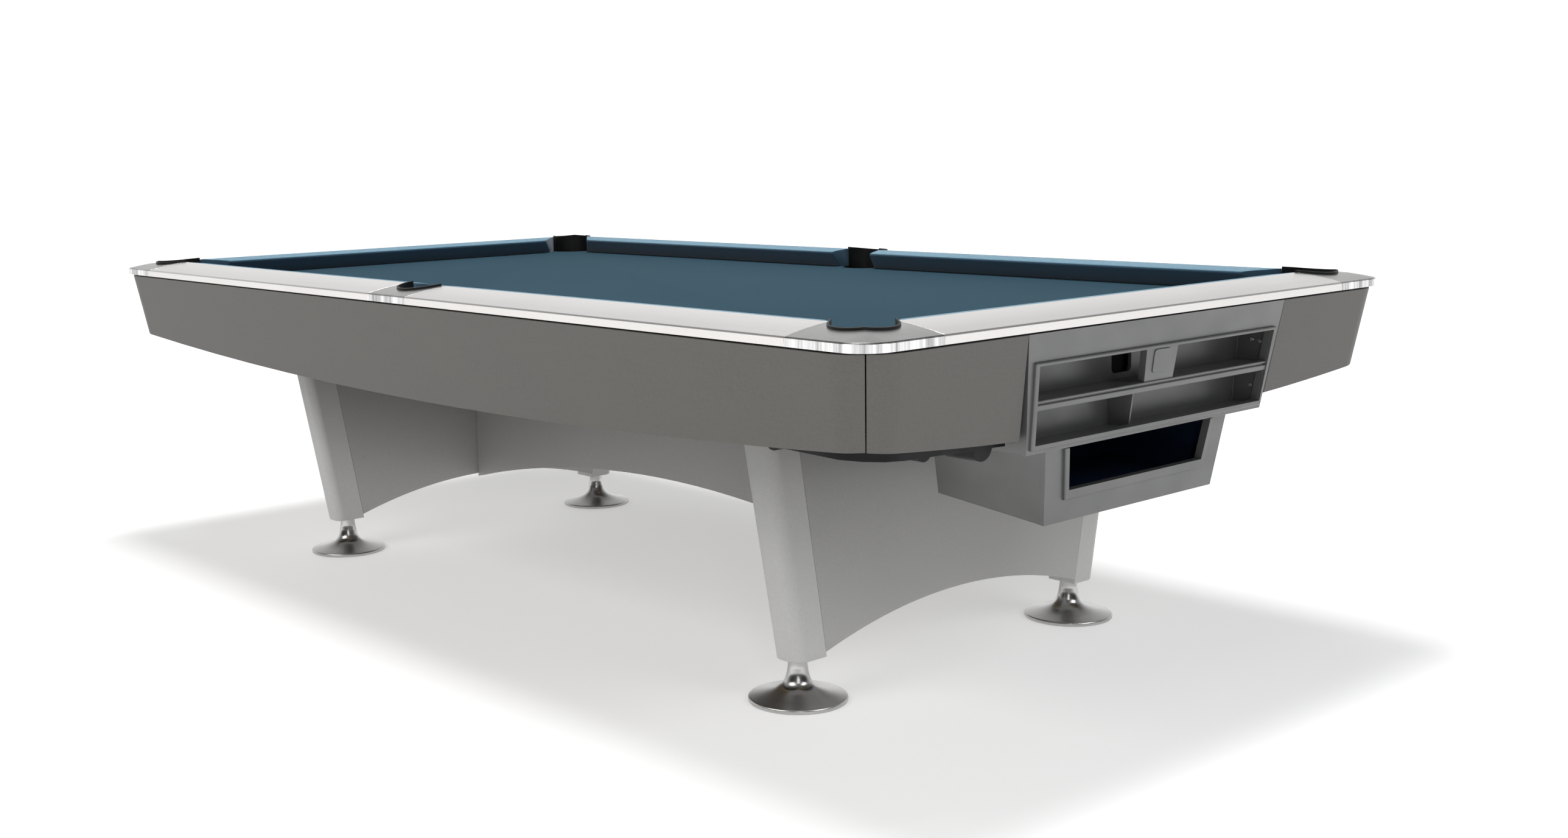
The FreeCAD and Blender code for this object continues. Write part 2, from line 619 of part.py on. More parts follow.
def pedestal_panel():
    wires = []
    for level, z in enumerate((LEG_BOTTOM, FRAME_BOTTOM)):
        half = LEG_SEAM_Y[level] - PANEL_GAP
        x_in, x_out = LEG_IN_X[level], LEG_OUT_X[level]
        wires.append(polygon_wire([vec(x_in, -half, z), vec(x_out, -half, z),
                                   vec(x_out, half, z), vec(x_in, half, z)]))
    seam_z, middle_z = PEDESTAL_ARCH_Z
    return loft(wires).cut(under_arch("Y", middle_z, seam_z, PEDESTAL_ARCH_HALF))


def under_arch(axis, middle_z, end_z, half_span):
    """Solid under an arch that is highest in the middle."""
    def place(along, z):
        return vec(along, -100, z) if axis == "X" else vec(700, along, z)
    arc = Part.Arc(place(-half_span, end_z), place(0, middle_z), place(half_span, end_z)).toShape()
    low = LEG_BOTTOM - 30.0
    sides = [Part.makeLine(place(half_span, end_z), place(half_span, low)),
             Part.makeLine(place(half_span, low), place(-half_span, low)),
             Part.makeLine(place(-half_span, low), place(-half_span, end_z))]
    face = Part.Face(Part.Wire([arc] + sides))
    return face.extrude(vec(0, 200, 0) if axis == "X" else vec(400, 0, 0))


def stretcher_panel():
    half = LEG_IN_X[0] - PANEL_GAP
    thick = STRETCHER_HALF_THICK
    low_z, middle_z = STRETCHER_ARCH_Z
    panel = box((-half, -thick, low_z), (half, thick, FRAME_BOTTOM))
    return panel.cut(under_arch("X", middle_z, low_z, LEG_IN_X[0] + 10.0))


def levelling_foot(sx, sy):
    """Disc, flared stem and threaded stud turned from one bar."""
    flare = Part.BSplineCurve()
    flare.interpolate([vec(DISC_R - 2.0, 0, 9.5), vec(62, 0, 17), vec(36, 0, 28), vec(24.5, 0, 44),
                       vec(20.5, 0, 62), vec(STEM_R, 0, LEG_BOTTOM - FOOT_GAP)])
    top = LEG_BOTTOM - FOOT_GAP
    outline = [vec(0, 0, 0), vec(DISC_R - 1.0, 0, 0), vec(DISC_R, 0, 1.0), vec(DISC_R, 0, 7.5),
               vec(DISC_R - 2.0, 0, 9.5)]
    edges = [Part.makeLine(outline[i], outline[i + 1]) for i in range(4)]
    edges.append(flare.toShape())
    upper = [vec(STEM_R, 0, top), vec(STUD_R, 0, top), vec(STUD_R, 0, STUD_TOP - 2),
             vec(STUD_R - 2, 0, STUD_TOP), vec(0, 0, STUD_TOP), vec(0, 0, 0)]
    edges += [Part.makeLine(upper[i], upper[i + 1]) for i in range(5)]
    solid = Part.Face(Part.Wire(edges)).revolve(vec(0, 0, 0), vec(0, 0, 1), 360)
    solid.translate(vec(sx * FOOT_X, sy * FOOT_Y, 0))
    return solid


def threaded_inserts():
    inserts = []
    for sx, sy in CORNERS.values():
        ring = cylinder(sx * FOOT_X, sy * FOOT_Y, INSERT_R, LEG_BOTTOM, LEG_BOTTOM + INSERT_HEIGHT)
        hole = cylinder(sx * FOOT_X, sy * FOOT_Y, STUD_R + FOOT_GAP,
                        LEG_BOTTOM - 1, LEG_BOTTOM + INSERT_HEIGHT + 1)
        inserts.append(ring.cut(hole))
    return Part.makeCompound(inserts)


# --- ball box ---------------------------------------------------------------

def face_x(z):
    return FACE_TOP_X - FACE_LEAN * (FASCIA_BOTTOM_Z - z)


def block(z0, z1, back, front, half):
    """Six-sided block; back, front and half are functions of z; half may be a (low, high) y pair."""
    wires = []
    for z in (z0, z1):
        span = half(z)
        low, high = span if isinstance(span, tuple) else (-span, span)
        wires.append(polygon_wire([vec(back(z), low, z), vec(front(z), low, z),
                                   vec(front(z), high, z), vec(back(z), high, z)]))
    return loft(wires)


def widening(half_bottom, rate, z_bottom, trim=0.0):
    return lambda z: half_bottom + rate * (z - z_bottom) - trim


def face_half(trim=0.0):
    return widening(FACE_HALF_BOTTOM, FACE_WIDEN, FACE_BOTTOM_Z, trim)


def row_half(trim=0.0):
    return widening(ROW_HALF_BOTTOM, ROW_WIDEN, LOWER_ROW[0], trim)


def ball_box_face():
    """Front plate with two long windows, a raised moulding round them and a middle rail."""
    plate = block(FACE_BOTTOM_Z, APRON_TOP_Z, lambda z: face_x(z) - FACE_THICK, face_x, face_half())
    proud = lambda z: face_x(z) + MOULDING_PROUD
    root = lambda z: face_x(z) - 2.0
    band_half = widening(MOULDING_HALF_BOTTOM, MOULDING_WIDEN, MOULDING_Z[0])
    band = block(MOULDING_Z[0], MOULDING_Z[1], root, proud, band_half)
    front_edges = [e for e in band.Edges if e.CenterOfMass.x > face_x(e.CenterOfMass.z) + 1]
    band = band.makeFillet(3.0, front_edges)
    inside = block(LOWER_ROW[0] - 0.5, UPPER_ROW[1] + 0.5, lambda z: face_x(z) - 60,
                   lambda z: face_x(z) + 60, row_half(-0.5))
    band = band.cut(inside)
    face = plate.fuse(band)
    beads = ((LOWER_ROW[1] + 1.0, UPPER_ROW[0] - 7.5, 4.0), (UPPER_ROW[0] - 5.0, UPPER_ROW[0], 3.0))
    for low, high, proud_by in beads:
        rail = block(low, high, root, lambda z: face_x(z) + proud_by, row_half(-4.0))
        long_edges = [e for e in rail.Edges if e.Length > 500 and e.CenterOfMass.x > face_x(e.CenterOfMass.z)]
        face = face.fuse(rail.makeFillet(2.0, long_edges))
    for low, high in (LOWER_ROW, UPPER_ROW):
        window = block(low, high, lambda z: face_x(z) - 60, lambda z: face_x(z) + 60, row_half())
        face = face.cut(window)
    post = block(UPPER_ROW[0] - 1, UPPER_ROW[1] + 1, lambda z: face_x(z) - FACE_THICK, face_x,
                 lambda z: BADGE_HALF + 0.07 * (z - UPPER_ROW[0]))
    return face.fuse(post).removeSplitter()


def face_badge():
    """Plain raised plate on the post between the upper windows."""
    middle_z = BADGE_Z
    plate = Part.Face(rounded_rectangle(22.5, 25.0, 7.0, 0.0)).extrude(vec(0, 0, 2.0))
    plate.rotate(vec(0, 0, 0), vec(0, 1, 0), 90.0 + math.degrees(math.atan(FACE_LEAN)))
    plate.translate(vec(face_x(middle_z), 0, middle_z))
    return plate


def ball_box_housing():
    """Open-fronted box with a rear channel behind the two rows."""
    z0, z1 = FACE_BOTTOM_Z, SLATE_BOTTOM - 0.5
    wall = HOUSING_WALL
    rear = lambda z: face_x(z) - FACE_THICK
    outer = block(z0, z1, lambda z: HOUSING_BACK_X, rear, face_half(3.0))
    rows = block(z0 + wall, z1 - wall, lambda z: PARTITION_X, lambda z: rear(z) + 50, face_half(3.0 + wall))
    channel = block(z0 + wall, z1 - wall, lambda z: HOUSING_BACK_X + wall, lambda z: PARTITION_X - wall,
                    face_half(3.0 + wall))
    shell = outer.cut(rows).cut(channel)
    inner = TRACK_HALF - TRACK_WALL
    for side, sy in SIDES.items():
        exit_z = TRACK_EXIT_Z[side]
        side_half = face_half()(exit_z)
        port = mirrored(box((TRACK_END_X - inner, side_half - 30, exit_z + TRACK_WALL),
                            (TRACK_END_X + inner, side_half + 30, exit_z + 62)), 1, sy)
        port = port.common(box((0, -500, 0), (PARTITION_X - wall, 500, 1000)))
        shell = shell.cut(port)
    row_port = box((PARTITION_X - wall - 5, -ROW_PORT_END, LOWER_ROW[0]),
                   (PARTITION_X + 5, BALL_HOLE_WIDTH - ROW_PORT_END, LOWER_ROW[1]))
    hole_low = UPPER_ROW[0] + 9
    hole = box((PARTITION_X - wall - 5, BALL_HOLE_Y - BALL_HOLE_WIDTH / 2, hole_low),
               (PARTITION_X + 5, BALL_HOLE_Y + BALL_HOLE_WIDTH / 2, z1 - wall))
    lower_corners = [e for e in hole.Edges if e.Length < 20 and e.CenterOfMass.z < hole_low + 1]
    return shell.cut(row_port).cut(hole.makeFillet(10.0, lower_corners))


def trays():
    """Sheet floors of the two rows; the lower one carries the upright divider."""
    wall = HOUSING_WALL
    rear = lambda z: face_x(z) - FACE_THICK
    half = face_half(3.0 + wall + 0.2)
    upper = block(UPPER_ROW[0] - 6, UPPER_ROW[0] - 6 + TRAY_THICK, lambda z: PARTITION_X, rear, half)
    floor_z = FACE_BOTTOM_Z + wall
    lower = block(floor_z, floor_z + TRAY_THICK, lambda z: PARTITION_X, rear, half)
    divider_half = TRAY_THICK / 2
    divider = block(floor_z, UPPER_ROW[0] - 6, lambda z: PARTITION_X, rear,
                    lambda z: (DIVIDER_Y - divider_half, DIVIDER_Y + divider_half))
    return upper, lower.fuse(divider).removeSplitter()


def box_screws():
    """Round screw heads inside both end walls of the rows."""
    screws = []
    for sy in SIDES.values():
        for x, z in SCREW_PLACES:
            y = sy * (face_half(3.0 + HOUSING_WALL)(z) - 3.4)
            screws.append(Part.makeCylinder(4.0, 2.6, vec(x, y, z), vec(0, sy, 0)))
    return Part.makeCompound(screws)


# --- lower box --------------------------------------------------------------

def lower_front(z):
    return LOWER_FRONT_BOTTOM_X + LOWER_LEAN * (z - LOWER_BOTTOM_Z)


def lower_half(trim=0.0):
    return widening(LOWER_HALF_BOTTOM, LOWER_WIDEN, LOWER_BOTTOM_Z, trim)


def under_floor(offset):
    """Everything under the lower box's sloping floor, raised by offset."""
    rise = LOWER_FLOOR_RISE
    front_x, back_x = 1500.0, 1000.0
    z_at = lambda x: LOWER_BOTTOM_Z + offset + rise * (LOWER_FRONT_BOTTOM_X - x)
    side = [vec(front_x, -500, z_at(front_x)), vec(back_x, -500, z_at(back_x)), vec(back_x, -500, 200),
            vec(front_x, -500, 200)]
    return Part.Face(polygon_wire(side)).extrude(vec(0, 1000, 0))


def lower_box():
    wall = LOWER_WALL
    low, high = LOWER_BOTTOM_Z - 20.0, LOWER_TOP_Z - 0.5
    rear = lambda z: LOWER_REAR_X
    face_back = lambda z: lower_front(z) - 10.0
    outer = block(low, high, rear, face_back, lower_half()).cut(under_floor(0.0))
    inner = block(low, high - 6, lambda z: LOWER_REAR_X + wall, lambda z: lower_front(z) + 20,
                  lower_half(wall))
    inner = inner.cut(under_floor(wall))
    housing = outer.cut(inner)
    face = block(low, high, face_back, lower_front, lower_half()).cut(under_floor(0.0))
    top_z = LOWER_TOP_Z - 6.5
    window_half = widening(LOWER_OPENING_HALF, LOWER_OPENING_WIDEN, LOWER_OPENING_Z)
    ledge = 18.0
    frame_half = lambda z: window_half(z) + 11.0
    band = block(LOWER_OPENING_Z - ledge, top_z, face_back,
                 lambda z: lower_front(z) + MOULDING_PROUD, frame_half)
    front_edges = [e for e in band.Edges if e.CenterOfMass.x > lower_front(e.CenterOfMass.z) + 4
                   and e.CenterOfMass.z < top_z - 1]
    band = band.makeFillet(3.0, front_edges)
    window = block(LOWER_OPENING_Z, top_z + 30, lambda z: lower_front(z) - 50,
                   lambda z: lower_front(z) + 50, window_half)
    face = face.fuse(band).cut(window).removeSplitter()
    lining_out = block(low, high - 6, lambda z: LOWER_REAR_X + wall, face_back, lower_half(wall))
    lining_out = lining_out.cut(under_floor(wall))
    trim = wall + LINING
    lining_in = block(low, high, lambda z: LOWER_REAR_X + trim, lambda z: lower_front(z) + 20,
                      lower_half(trim))
    lining_in = lining_in.cut(under_floor(trim))
    return housing, face, lining_out.cut(lining_in)


# --- build ------------------------------------------------------------------

os.makedirs("parts", exist_ok=True)

outer_levels, inner_levels = rail_levels()
outer_form = stacked(outer_levels)
inner_form = stacked(inner_levels)
raised_form = outer_form.copy()
raised_form.translate(vec(0, 0, RIM_RISE))
metal_form = outer_form.cut(inner_form)
footprints = rail_footprints()

for name, shape in slates().items():
    save(name, shape)
save("bed_cloth", bed_cloth())
side_beams, cross_beams = frame_parts()
save("frame_side_beams", side_beams)
save("frame_cross_beams", cross_beams)
for name, footprint in footprints.items():
    save("rail_top_" + name, metal_form.common(footprint))
for name, shape in cushions().items():
    save("cushion_" + name, shape)
save("sub_rails", sub_rails(inner_form, footprints))
save("rail_bolts", rail_bolts())

corner_cap, side_cap = caps(outer_form)
for name, (sx, sy) in CORNERS.items():
    save("corner_cap_" + name, mirrored(corner_cap, sx, sy))
    boot_bottom = track_z(name.split("_")[1], sx * CORNER_POCKET[0]) + TRACK_HEIGHT + 2.0
    save("pocket_liner_" + name, mirrored(liner("corner", raised_form, boot_bottom), sx, sy))
for name, sy in SIDES.items():
    save("side_cap_" + name, mirrored(side_cap, 1, sy))
    boot_bottom = track_z(name, 0.0) + TRACK_HEIGHT + 2.0
    save("pocket_liner_side_" + name, mirrored(liner("side", raised_form, boot_bottom), 1, sy))
for name, sy in SIDES.items():
    save("ball_track_" + name, mirrored(ball_track(name), 1, sy))

for name, shape in aprons().items():
    save(name, shape)

for name, (sx, sy) in CORNERS.items():
    save("leg_column_" + name, mirrored(leg_column(), sx, sy))
    save("leveller_" + name, levelling_foot(sx, sy))
save("threaded_inserts", threaded_inserts())
save("pedestal_panel_foot", pedestal_panel())
save("pedestal_panel_head", mirrored(pedestal_panel(), -1, 1))
save("stretcher_panel", stretcher_panel())

save("ball_box_face", ball_box_face())
save("ball_box_housing", ball_box_housing())
save("face_badge", face_badge())
upper_tray, lower_tray = trays()
save("upper_ball_tray", upper_tray)
save("lower_ball_tray", lower_tray)
save("ball_box_screws", box_screws())
lower_housing, lower_face, lower_lining = lower_box()
save("lower_box_housing", lower_housing)
save("lower_box_face", lower_face)
save("lower_box_lining", lower_lining)
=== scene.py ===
import json
import math

import bmesh
import bpy
from mathutils import Matrix, Vector


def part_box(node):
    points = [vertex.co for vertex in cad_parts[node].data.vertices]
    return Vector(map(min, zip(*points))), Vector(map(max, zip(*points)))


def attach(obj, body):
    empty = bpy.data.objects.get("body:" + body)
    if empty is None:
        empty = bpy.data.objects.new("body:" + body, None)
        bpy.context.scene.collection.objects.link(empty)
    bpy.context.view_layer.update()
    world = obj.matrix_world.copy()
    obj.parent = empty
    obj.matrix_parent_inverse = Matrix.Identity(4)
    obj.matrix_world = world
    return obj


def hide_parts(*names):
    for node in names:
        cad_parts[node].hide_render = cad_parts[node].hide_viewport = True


# Looks of the nine-foot pool table, in metres: +X towards the ball-return end, +Y across, +Z up.

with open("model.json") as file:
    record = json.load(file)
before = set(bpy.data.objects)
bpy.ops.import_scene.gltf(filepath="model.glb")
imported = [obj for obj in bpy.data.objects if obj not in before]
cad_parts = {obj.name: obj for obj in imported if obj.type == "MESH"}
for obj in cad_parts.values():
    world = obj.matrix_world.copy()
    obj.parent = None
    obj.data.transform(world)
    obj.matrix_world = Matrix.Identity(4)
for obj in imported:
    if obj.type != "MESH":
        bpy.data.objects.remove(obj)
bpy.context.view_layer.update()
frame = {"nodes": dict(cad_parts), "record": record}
NODES = frame["nodes"]
SCENE = bpy.context.scene
CORNERS = {"foot_left": (1, -1), "foot_right": (1, 1), "head_left": (-1, -1), "head_right": (-1, 1)}
SIDES = {"left": -1, "right": 1}
RAILS = ("foot_end", "foot_left", "foot_right", "head_end", "head_left", "head_right")
BODY_OF = {node: body for body, nodes in frame["record"]["behaviour"]["bodies"].items() for node in nodes}
MM = 0.001

# Studio: the surround's direction over the table from the camera, and its strength each way and overhead.
BEYOND = (-0.762, 0.647, 0.0)
DIM_SIDE, BRIGHT_SIDE, OVERHEAD_GLOW = 0.03, 1.25, 0.10
FLOOR_HALF = 60.0

# Places that the frame gives.
NOSE_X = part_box("cushion_foot_end")[0].x
NOSE_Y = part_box("cushion_foot_right")[0].y
CUSHION_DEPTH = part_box("cushion_foot_end")[1].x - NOSE_X
CUSHION_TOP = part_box("cushion_foot_end")[1].z
BED_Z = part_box("bed_cloth")[1].z
SLATE_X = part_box("bed_cloth")[1].x
SLATE_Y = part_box("bed_cloth")[1].y
LEG_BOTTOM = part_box("leg_column_foot_left")[0].z

# Sizes of the cloth and cushions.
NOSE_HEIGHT = 36.6 * MM                # cushion nose over the bed
NOSE_R = 5.0 * MM                      # roundness of the nose
CORNER_POCKET_OUT = 41 * MM            # pocket centre beyond the noses, along X and Y
SIDE_POCKET_OUT = 57 * MM
CLOTH_HOLE_R = 61.5 * MM
CLOTH_THICK = 0.9 * MM
CLOTH_ROLL = [(3.0 * MM, 0.0), (1.2 * MM, -0.5 * MM), (0.3 * MM, -1.6 * MM), (0.0, -3.5 * MM),
              (0.0, -14 * MM)]         # (radius over the hole, drop) down a cut edge
CUT_STEPS = 28


# --- camera -----------------------------------------------------------------

def add_camera():
    place = Vector((3.2315, -2.6672, 1.0818))
    yaw, pitch, roll = 0.86664, 0.11834, -0.02099
    data = bpy.data.cameras.new("camera")
    data.sensor_width = 36.0
    data.lens = 39.395
    data.shift_x = 0.05728
    data.shift_y = -0.04610
    data.clip_end = 200.0
    camera = bpy.data.objects.new("camera", data)
    turn = Matrix.Rotation(yaw, 4, "Z") @ Matrix.Rotation(math.pi / 2 - pitch, 4, "X")
    turn = turn @ Matrix.Rotation(roll, 4, "Z")
    camera.matrix_world = Matrix.Translation(place) @ turn
    SCENE.collection.objects.link(camera)
    SCENE.camera = camera


# --- shader helpers -----------------------------------------------------------

def new_material(name, **sockets):
    """A Principled material; sockets are the values that are the same all over."""
    material = bpy.data.materials.new(name)
    material.use_nodes = True
    tree = material.node_tree
    shader = tree.nodes["Principled BSDF"]
    for socket, value in sockets.items():
        shader.inputs[socket.replace("_", " ")].default_value = value
    return material, tree, shader


def stretched(tree, scale):
    """Object coordinates, in metres, multiplied by scale along each axis."""
    coords = tree.nodes.new("ShaderNodeTexCoord")
    mapping = tree.nodes.new("ShaderNodeMapping")
    mapping.inputs["Scale"].default_value = scale
    tree.links.new(coords.outputs["Object"], mapping.inputs["Vector"])
    return mapping.outputs["Vector"]


def noise(tree, vector, scale=1.0, detail=2.0, roughness=0.5):
    node = tree.nodes.new("ShaderNodeTexNoise")
    node.inputs["Scale"].default_value = scale
    node.inputs["Detail"].default_value = detail
    node.inputs["Roughness"].default_value = roughness
    tree.links.new(vector, node.inputs["Vector"])
    return node.outputs["Fac"]


def waves(tree, vector, axis, distortion=0.3):
    node = tree.nodes.new("ShaderNodeTexWave")
    node.bands_direction = axis
    node.inputs["Scale"].default_value = 1.0
    node.inputs["Distortion"].default_value = distortion
    node.inputs["Detail"].default_value = 1.0
    tree.links.new(vector, node.inputs["Vector"])
    return node.outputs["Fac"]


def math_node(tree, operation, a, b):
    node = tree.nodes.new("ShaderNodeMath")
    node.operation = operation
    for socket, value in zip(node.inputs, (a, b)):
        if isinstance(value, (int, float)):
            socket.default_value = value
        else:
            tree.links.new(value, socket)
    return node.outputs[0]


def remap(tree, value, low, high, from_low=0.3, from_high=0.7):
    node = tree.nodes.new("ShaderNodeMapRange")
    node.inputs["From Min"].default_value = from_low
    node.inputs["From Max"].default_value = from_high
    node.inputs["To Min"].default_value = low
    node.inputs["To Max"].default_value = high
    tree.links.new(value, node.inputs["Value"])
    return node.outputs["Result"]


def blend_colours(tree, factor, first, second):
    node = tree.nodes.new("ShaderNodeMix")
    node.data_type = "RGBA"
    tree.links.new(factor, node.inputs["Factor"])
    for socket, value in zip((node.inputs[6], node.inputs[7]), (first, second)):
        if isinstance(value, tuple):
            socket.default_value = (*value, 1.0)
        else:
            tree.links.new(value, socket)
    return node.outputs[2]


def shade(colour, factor):
    return tuple(channel * factor for channel in colour)


def add_bump(tree, shader, height, distance, strength=1.0):
    node = tree.nodes.new("ShaderNodeBump")
    node.inputs["Strength"].default_value = strength
    node.inputs["Distance"].default_value = distance
    tree.links.new(height, node.inputs["Height"])
    tree.links.new(node.outputs["Normal"], shader.inputs["Normal"])


def facing_up(tree, low, high):
    """0 where the surface is upright, 1 where it faces up, from the object's own normal."""
    coords = tree.nodes.new("ShaderNodeTexCoord")
    split = tree.nodes.new("ShaderNodeSeparateXYZ")
    tree.links.new(coords.outputs["Normal"], split.inputs["Vector"])
    return remap(tree, split.outputs["Z"], 0.0, 1.0, low, high)


# --- materials ----------------------------------------------------------------

def painted_shade_darker_at_top(tree, colour, low_z, high_z, top, bottom):
    """Painted shade: the laminate runs from dark at the top of a panel, under the aprons, to pale at its
    foot.
    """
    coords = tree.nodes.new("ShaderNodeTexCoord")
    split = tree.nodes.new("ShaderNodeSeparateXYZ")
    tree.links.new(coords.outputs["Object"], split.inputs["Vector"])
    height = remap(tree, split.outputs["Z"], bottom, top, low_z, high_z)
    scale = tree.nodes.new("ShaderNodeVectorMath")
    scale.operation = "SCALE"
    tree.links.new(colour, scale.inputs[0])
    tree.links.new(height, scale.inputs["Scale"])
    return scale.outputs["Vector"]


def laminate(name, base, warm, contrast, rough, painted_shade_z=None):
    """Silver laminate with fine crossed brushing and a soft mottle, and optional painted shade that darkens
    it towards the top.
    """
    material, tree, shader = new_material(name, Metallic=0.15, Specular_IOR_Level=0.35)
    speckle = noise(tree, stretched(tree, (210, 210, 210)), detail=4.0, roughness=0.8)
    along = noise(tree, stretched(tree, (25, 25, 1500)), detail=2.0)
    upright = noise(tree, stretched(tree, (1500, 1500, 25)), detail=2.0)
    mottle = noise(tree, stretched(tree, (5, 5, 7)), detail=4.0)
    crossed = math_node(tree, "ADD", math_node(tree, "MULTIPLY", along, 0.5),
                        math_node(tree, "MULTIPLY", upright, 0.5))
    grain = math_node(tree, "ADD", math_node(tree, "MULTIPLY", speckle, 0.6),
                      math_node(tree, "MULTIPLY", crossed, 0.4))
    fine = blend_colours(tree, remap(tree, grain, 0.0, 1.0, 0.34, 0.66),
                         shade(base, 1 - contrast), shade(base, 1 + contrast))
    tinted = blend_colours(tree, remap(tree, mottle, 0.0, 0.45), fine, warm)
    # Painted shade: darker towards the top, where the aprons shade the panel.
    if painted_shade_z is not None:
        tinted = painted_shade_darker_at_top(tree, tinted, *painted_shade_z)
    tree.links.new(tinted, shader.inputs["Base Color"])
    tree.links.new(remap(tree, grain, rough - 0.06, rough + 0.08), shader.inputs["Roughness"])
    add_bump(tree, shader, grain, 0.00012, 0.5)
    return material


def brushed_metal(name, base, rough, scale, streak=0.06, **sockets):
    """Metal brushed in one direction: scale is small along the brushing."""
    material, tree, shader = new_material(name, Metallic=1.0, **sockets)
    lines = noise(tree, stretched(tree, scale), detail=4.0, roughness=0.65)
    cloud = noise(tree, stretched(tree, (3, 3, 3)), detail=3.0)
    colour = blend_colours(tree, remap(tree, lines, 0.0, 1.0), shade(base, 1 - streak),
                           shade(base, 1 + streak))
    dull = blend_colours(tree, remap(tree, cloud, 0.0, 0.35), colour, shade(base, 0.88))
    tree.links.new(dull, shader.inputs["Base Color"])
    tree.links.new(remap(tree, lines, rough - 0.05, rough + 0.07), shader.inputs["Roughness"])
    add_bump(tree, shader, lines, 0.00004, 0.4)
    return material


def cap_metal(name):
    """Cast cap: darker brushed top, and a polished upright band whose faint upright streaks, light and dark,
    are painted reflections.
    """
    base = (0.37, 0.37, 0.365)
    material, tree, shader = new_material(name, Metallic=1.0)
    lines = noise(tree, stretched(tree, (420, 60, 420)), detail=4.0, roughness=0.6)
    cloud = noise(tree, stretched(tree, (9, 9, 9)), detail=3.0)
    # Painted reflections: upright streaks, from dark to bright, in the colour of the upright band.
    streaks = noise(tree, stretched(tree, (55, 55, 1.5)), detail=3.0, roughness=0.7)
    top = facing_up(tree, 0.35, 0.93)
    brushed = blend_colours(tree, remap(tree, lines, 0.0, 1.0), shade(base, 0.82), shade(base, 1.05))
    worn = blend_colours(tree, remap(tree, cloud, 0.0, 0.5), brushed, shade(base, 1.2))
    painted_reflection_band = blend_colours(tree, remap(tree, streaks, 0.0, 1.0, 0.35, 0.65),
                         (0.30, 0.30, 0.30), (0.92, 0.92, 0.92))
    colour = blend_colours(tree, top, painted_reflection_band, worn)
    tree.links.new(colour, shader.inputs["Base Color"])
    satin = remap(tree, lines, 0.26, 0.40)
    tree.links.new(remap(tree, top, 0.14, 0.32, 0.0, 1.0), shader.inputs["Roughness"])
    height = math_node(tree, "MULTIPLY", satin, top)
    add_bump(tree, shader, height, 0.00008, 0.5)
    return material


def turned_metal(name, centre):
    """Steel turned on a lathe: fine rings round the foot's own axis."""
    material, tree, shader = new_material(name, Metallic=1.0, Anisotropic=0.85)
    coords = tree.nodes.new("ShaderNodeTexCoord")
    shift = tree.nodes.new("ShaderNodeVectorMath")
    shift.operation = "SUBTRACT"
    shift.inputs[1].default_value = (centre.x, centre.y, 0.0)
    tree.links.new(coords.outputs["Object"], shift.inputs[0])
    flat = tree.nodes.new("ShaderNodeVectorMath")
    flat.operation = "MULTIPLY"
    flat.inputs[1].default_value = (1.0, 1.0, 0.0)
    tree.links.new(shift.outputs[0], flat.inputs[0])
    radius = tree.nodes.new("ShaderNodeVectorMath")
    radius.operation = "LENGTH"
    tree.links.new(flat.outputs[0], radius.inputs[0])
    split = tree.nodes.new("ShaderNodeSeparateXYZ")
    tree.links.new(coords.outputs["Object"], split.inputs["Vector"])
    ring = math_node(tree, "ADD", radius.outputs["Value"], split.outputs["Z"])
    joined = tree.nodes.new("ShaderNodeCombineXYZ")
    tree.links.new(math_node(tree, "MULTIPLY", ring, 2600.0), joined.inputs["X"])
    lines = noise(tree, joined.outputs["Vector"], detail=3.0, roughness=0.7)
    cloud = noise(tree, stretched(tree, (18, 18, 18)), detail=3.0)
    tone = blend_colours(tree, remap(tree, lines, 0.0, 1.0), (0.42, 0.42, 0.42), (0.64, 0.63, 0.62))
    colour = blend_colours(tree, remap(tree, cloud, 0.0, 0.5), tone, (0.40, 0.395, 0.39))
    tree.links.new(colour, shader.inputs["Base Color"])
    tree.links.new(remap(tree, lines, 0.17, 0.27), shader.inputs["Roughness"])
    tangent = tree.nodes.new("ShaderNodeTangent")
    tangent.direction_type = "RADIAL"
    tangent.axis = "Z"
    tree.links.new(tangent.outputs["Tangent"], shader.inputs["Tangent"])
    add_bump(tree, shader, lines, 0.00005, 0.4)
    return material


def cloth(name, base, light, weave, nap):
    """Worsted billiard cloth: crossed threads, a soft nap and faint shading along the length."""
    material, tree, shader = new_material(name, Roughness=0.95, Specular_IOR_Level=0.05)
    warp = waves(tree, stretched(tree, (weave, 0, 0)), "X")
    weft = waves(tree, stretched(tree, (0, weave, 0)), "Y")
    threads = math_node(tree, "MAXIMUM", warp, weft)
    fuzz = noise(tree, stretched(tree, (700, 700, 700)), detail=3.0, roughness=0.7)
    streaks = noise(tree, stretched(tree, (14, 60, 30)), detail=4.0, roughness=0.6)
    cloud = noise(tree, stretched(tree, (2.2, 2.2, 2.2)), detail=3.0)
    grain = math_node(tree, "ADD", math_node(tree, "MULTIPLY", threads, 0.45),
                      math_node(tree, "MULTIPLY", fuzz, 0.55))
    fine = blend_colours(tree, remap(tree, grain, 0.0, 1.0, 0.25, 0.85), shade(base, 1 - nap),
                         shade(base, 1 + nap))
    streaked = blend_colours(tree, remap(tree, streaks, 0.0, 0.4), fine, light)
    colour = blend_colours(tree, remap(tree, cloud, 0.0, 0.2), streaked, shade(base, 0.82))
    tree.links.new(colour, shader.inputs["Base Color"])
    add_bump(tree, shader, grain, 0.00025, 0.6)
    return material, tree, shader, colour


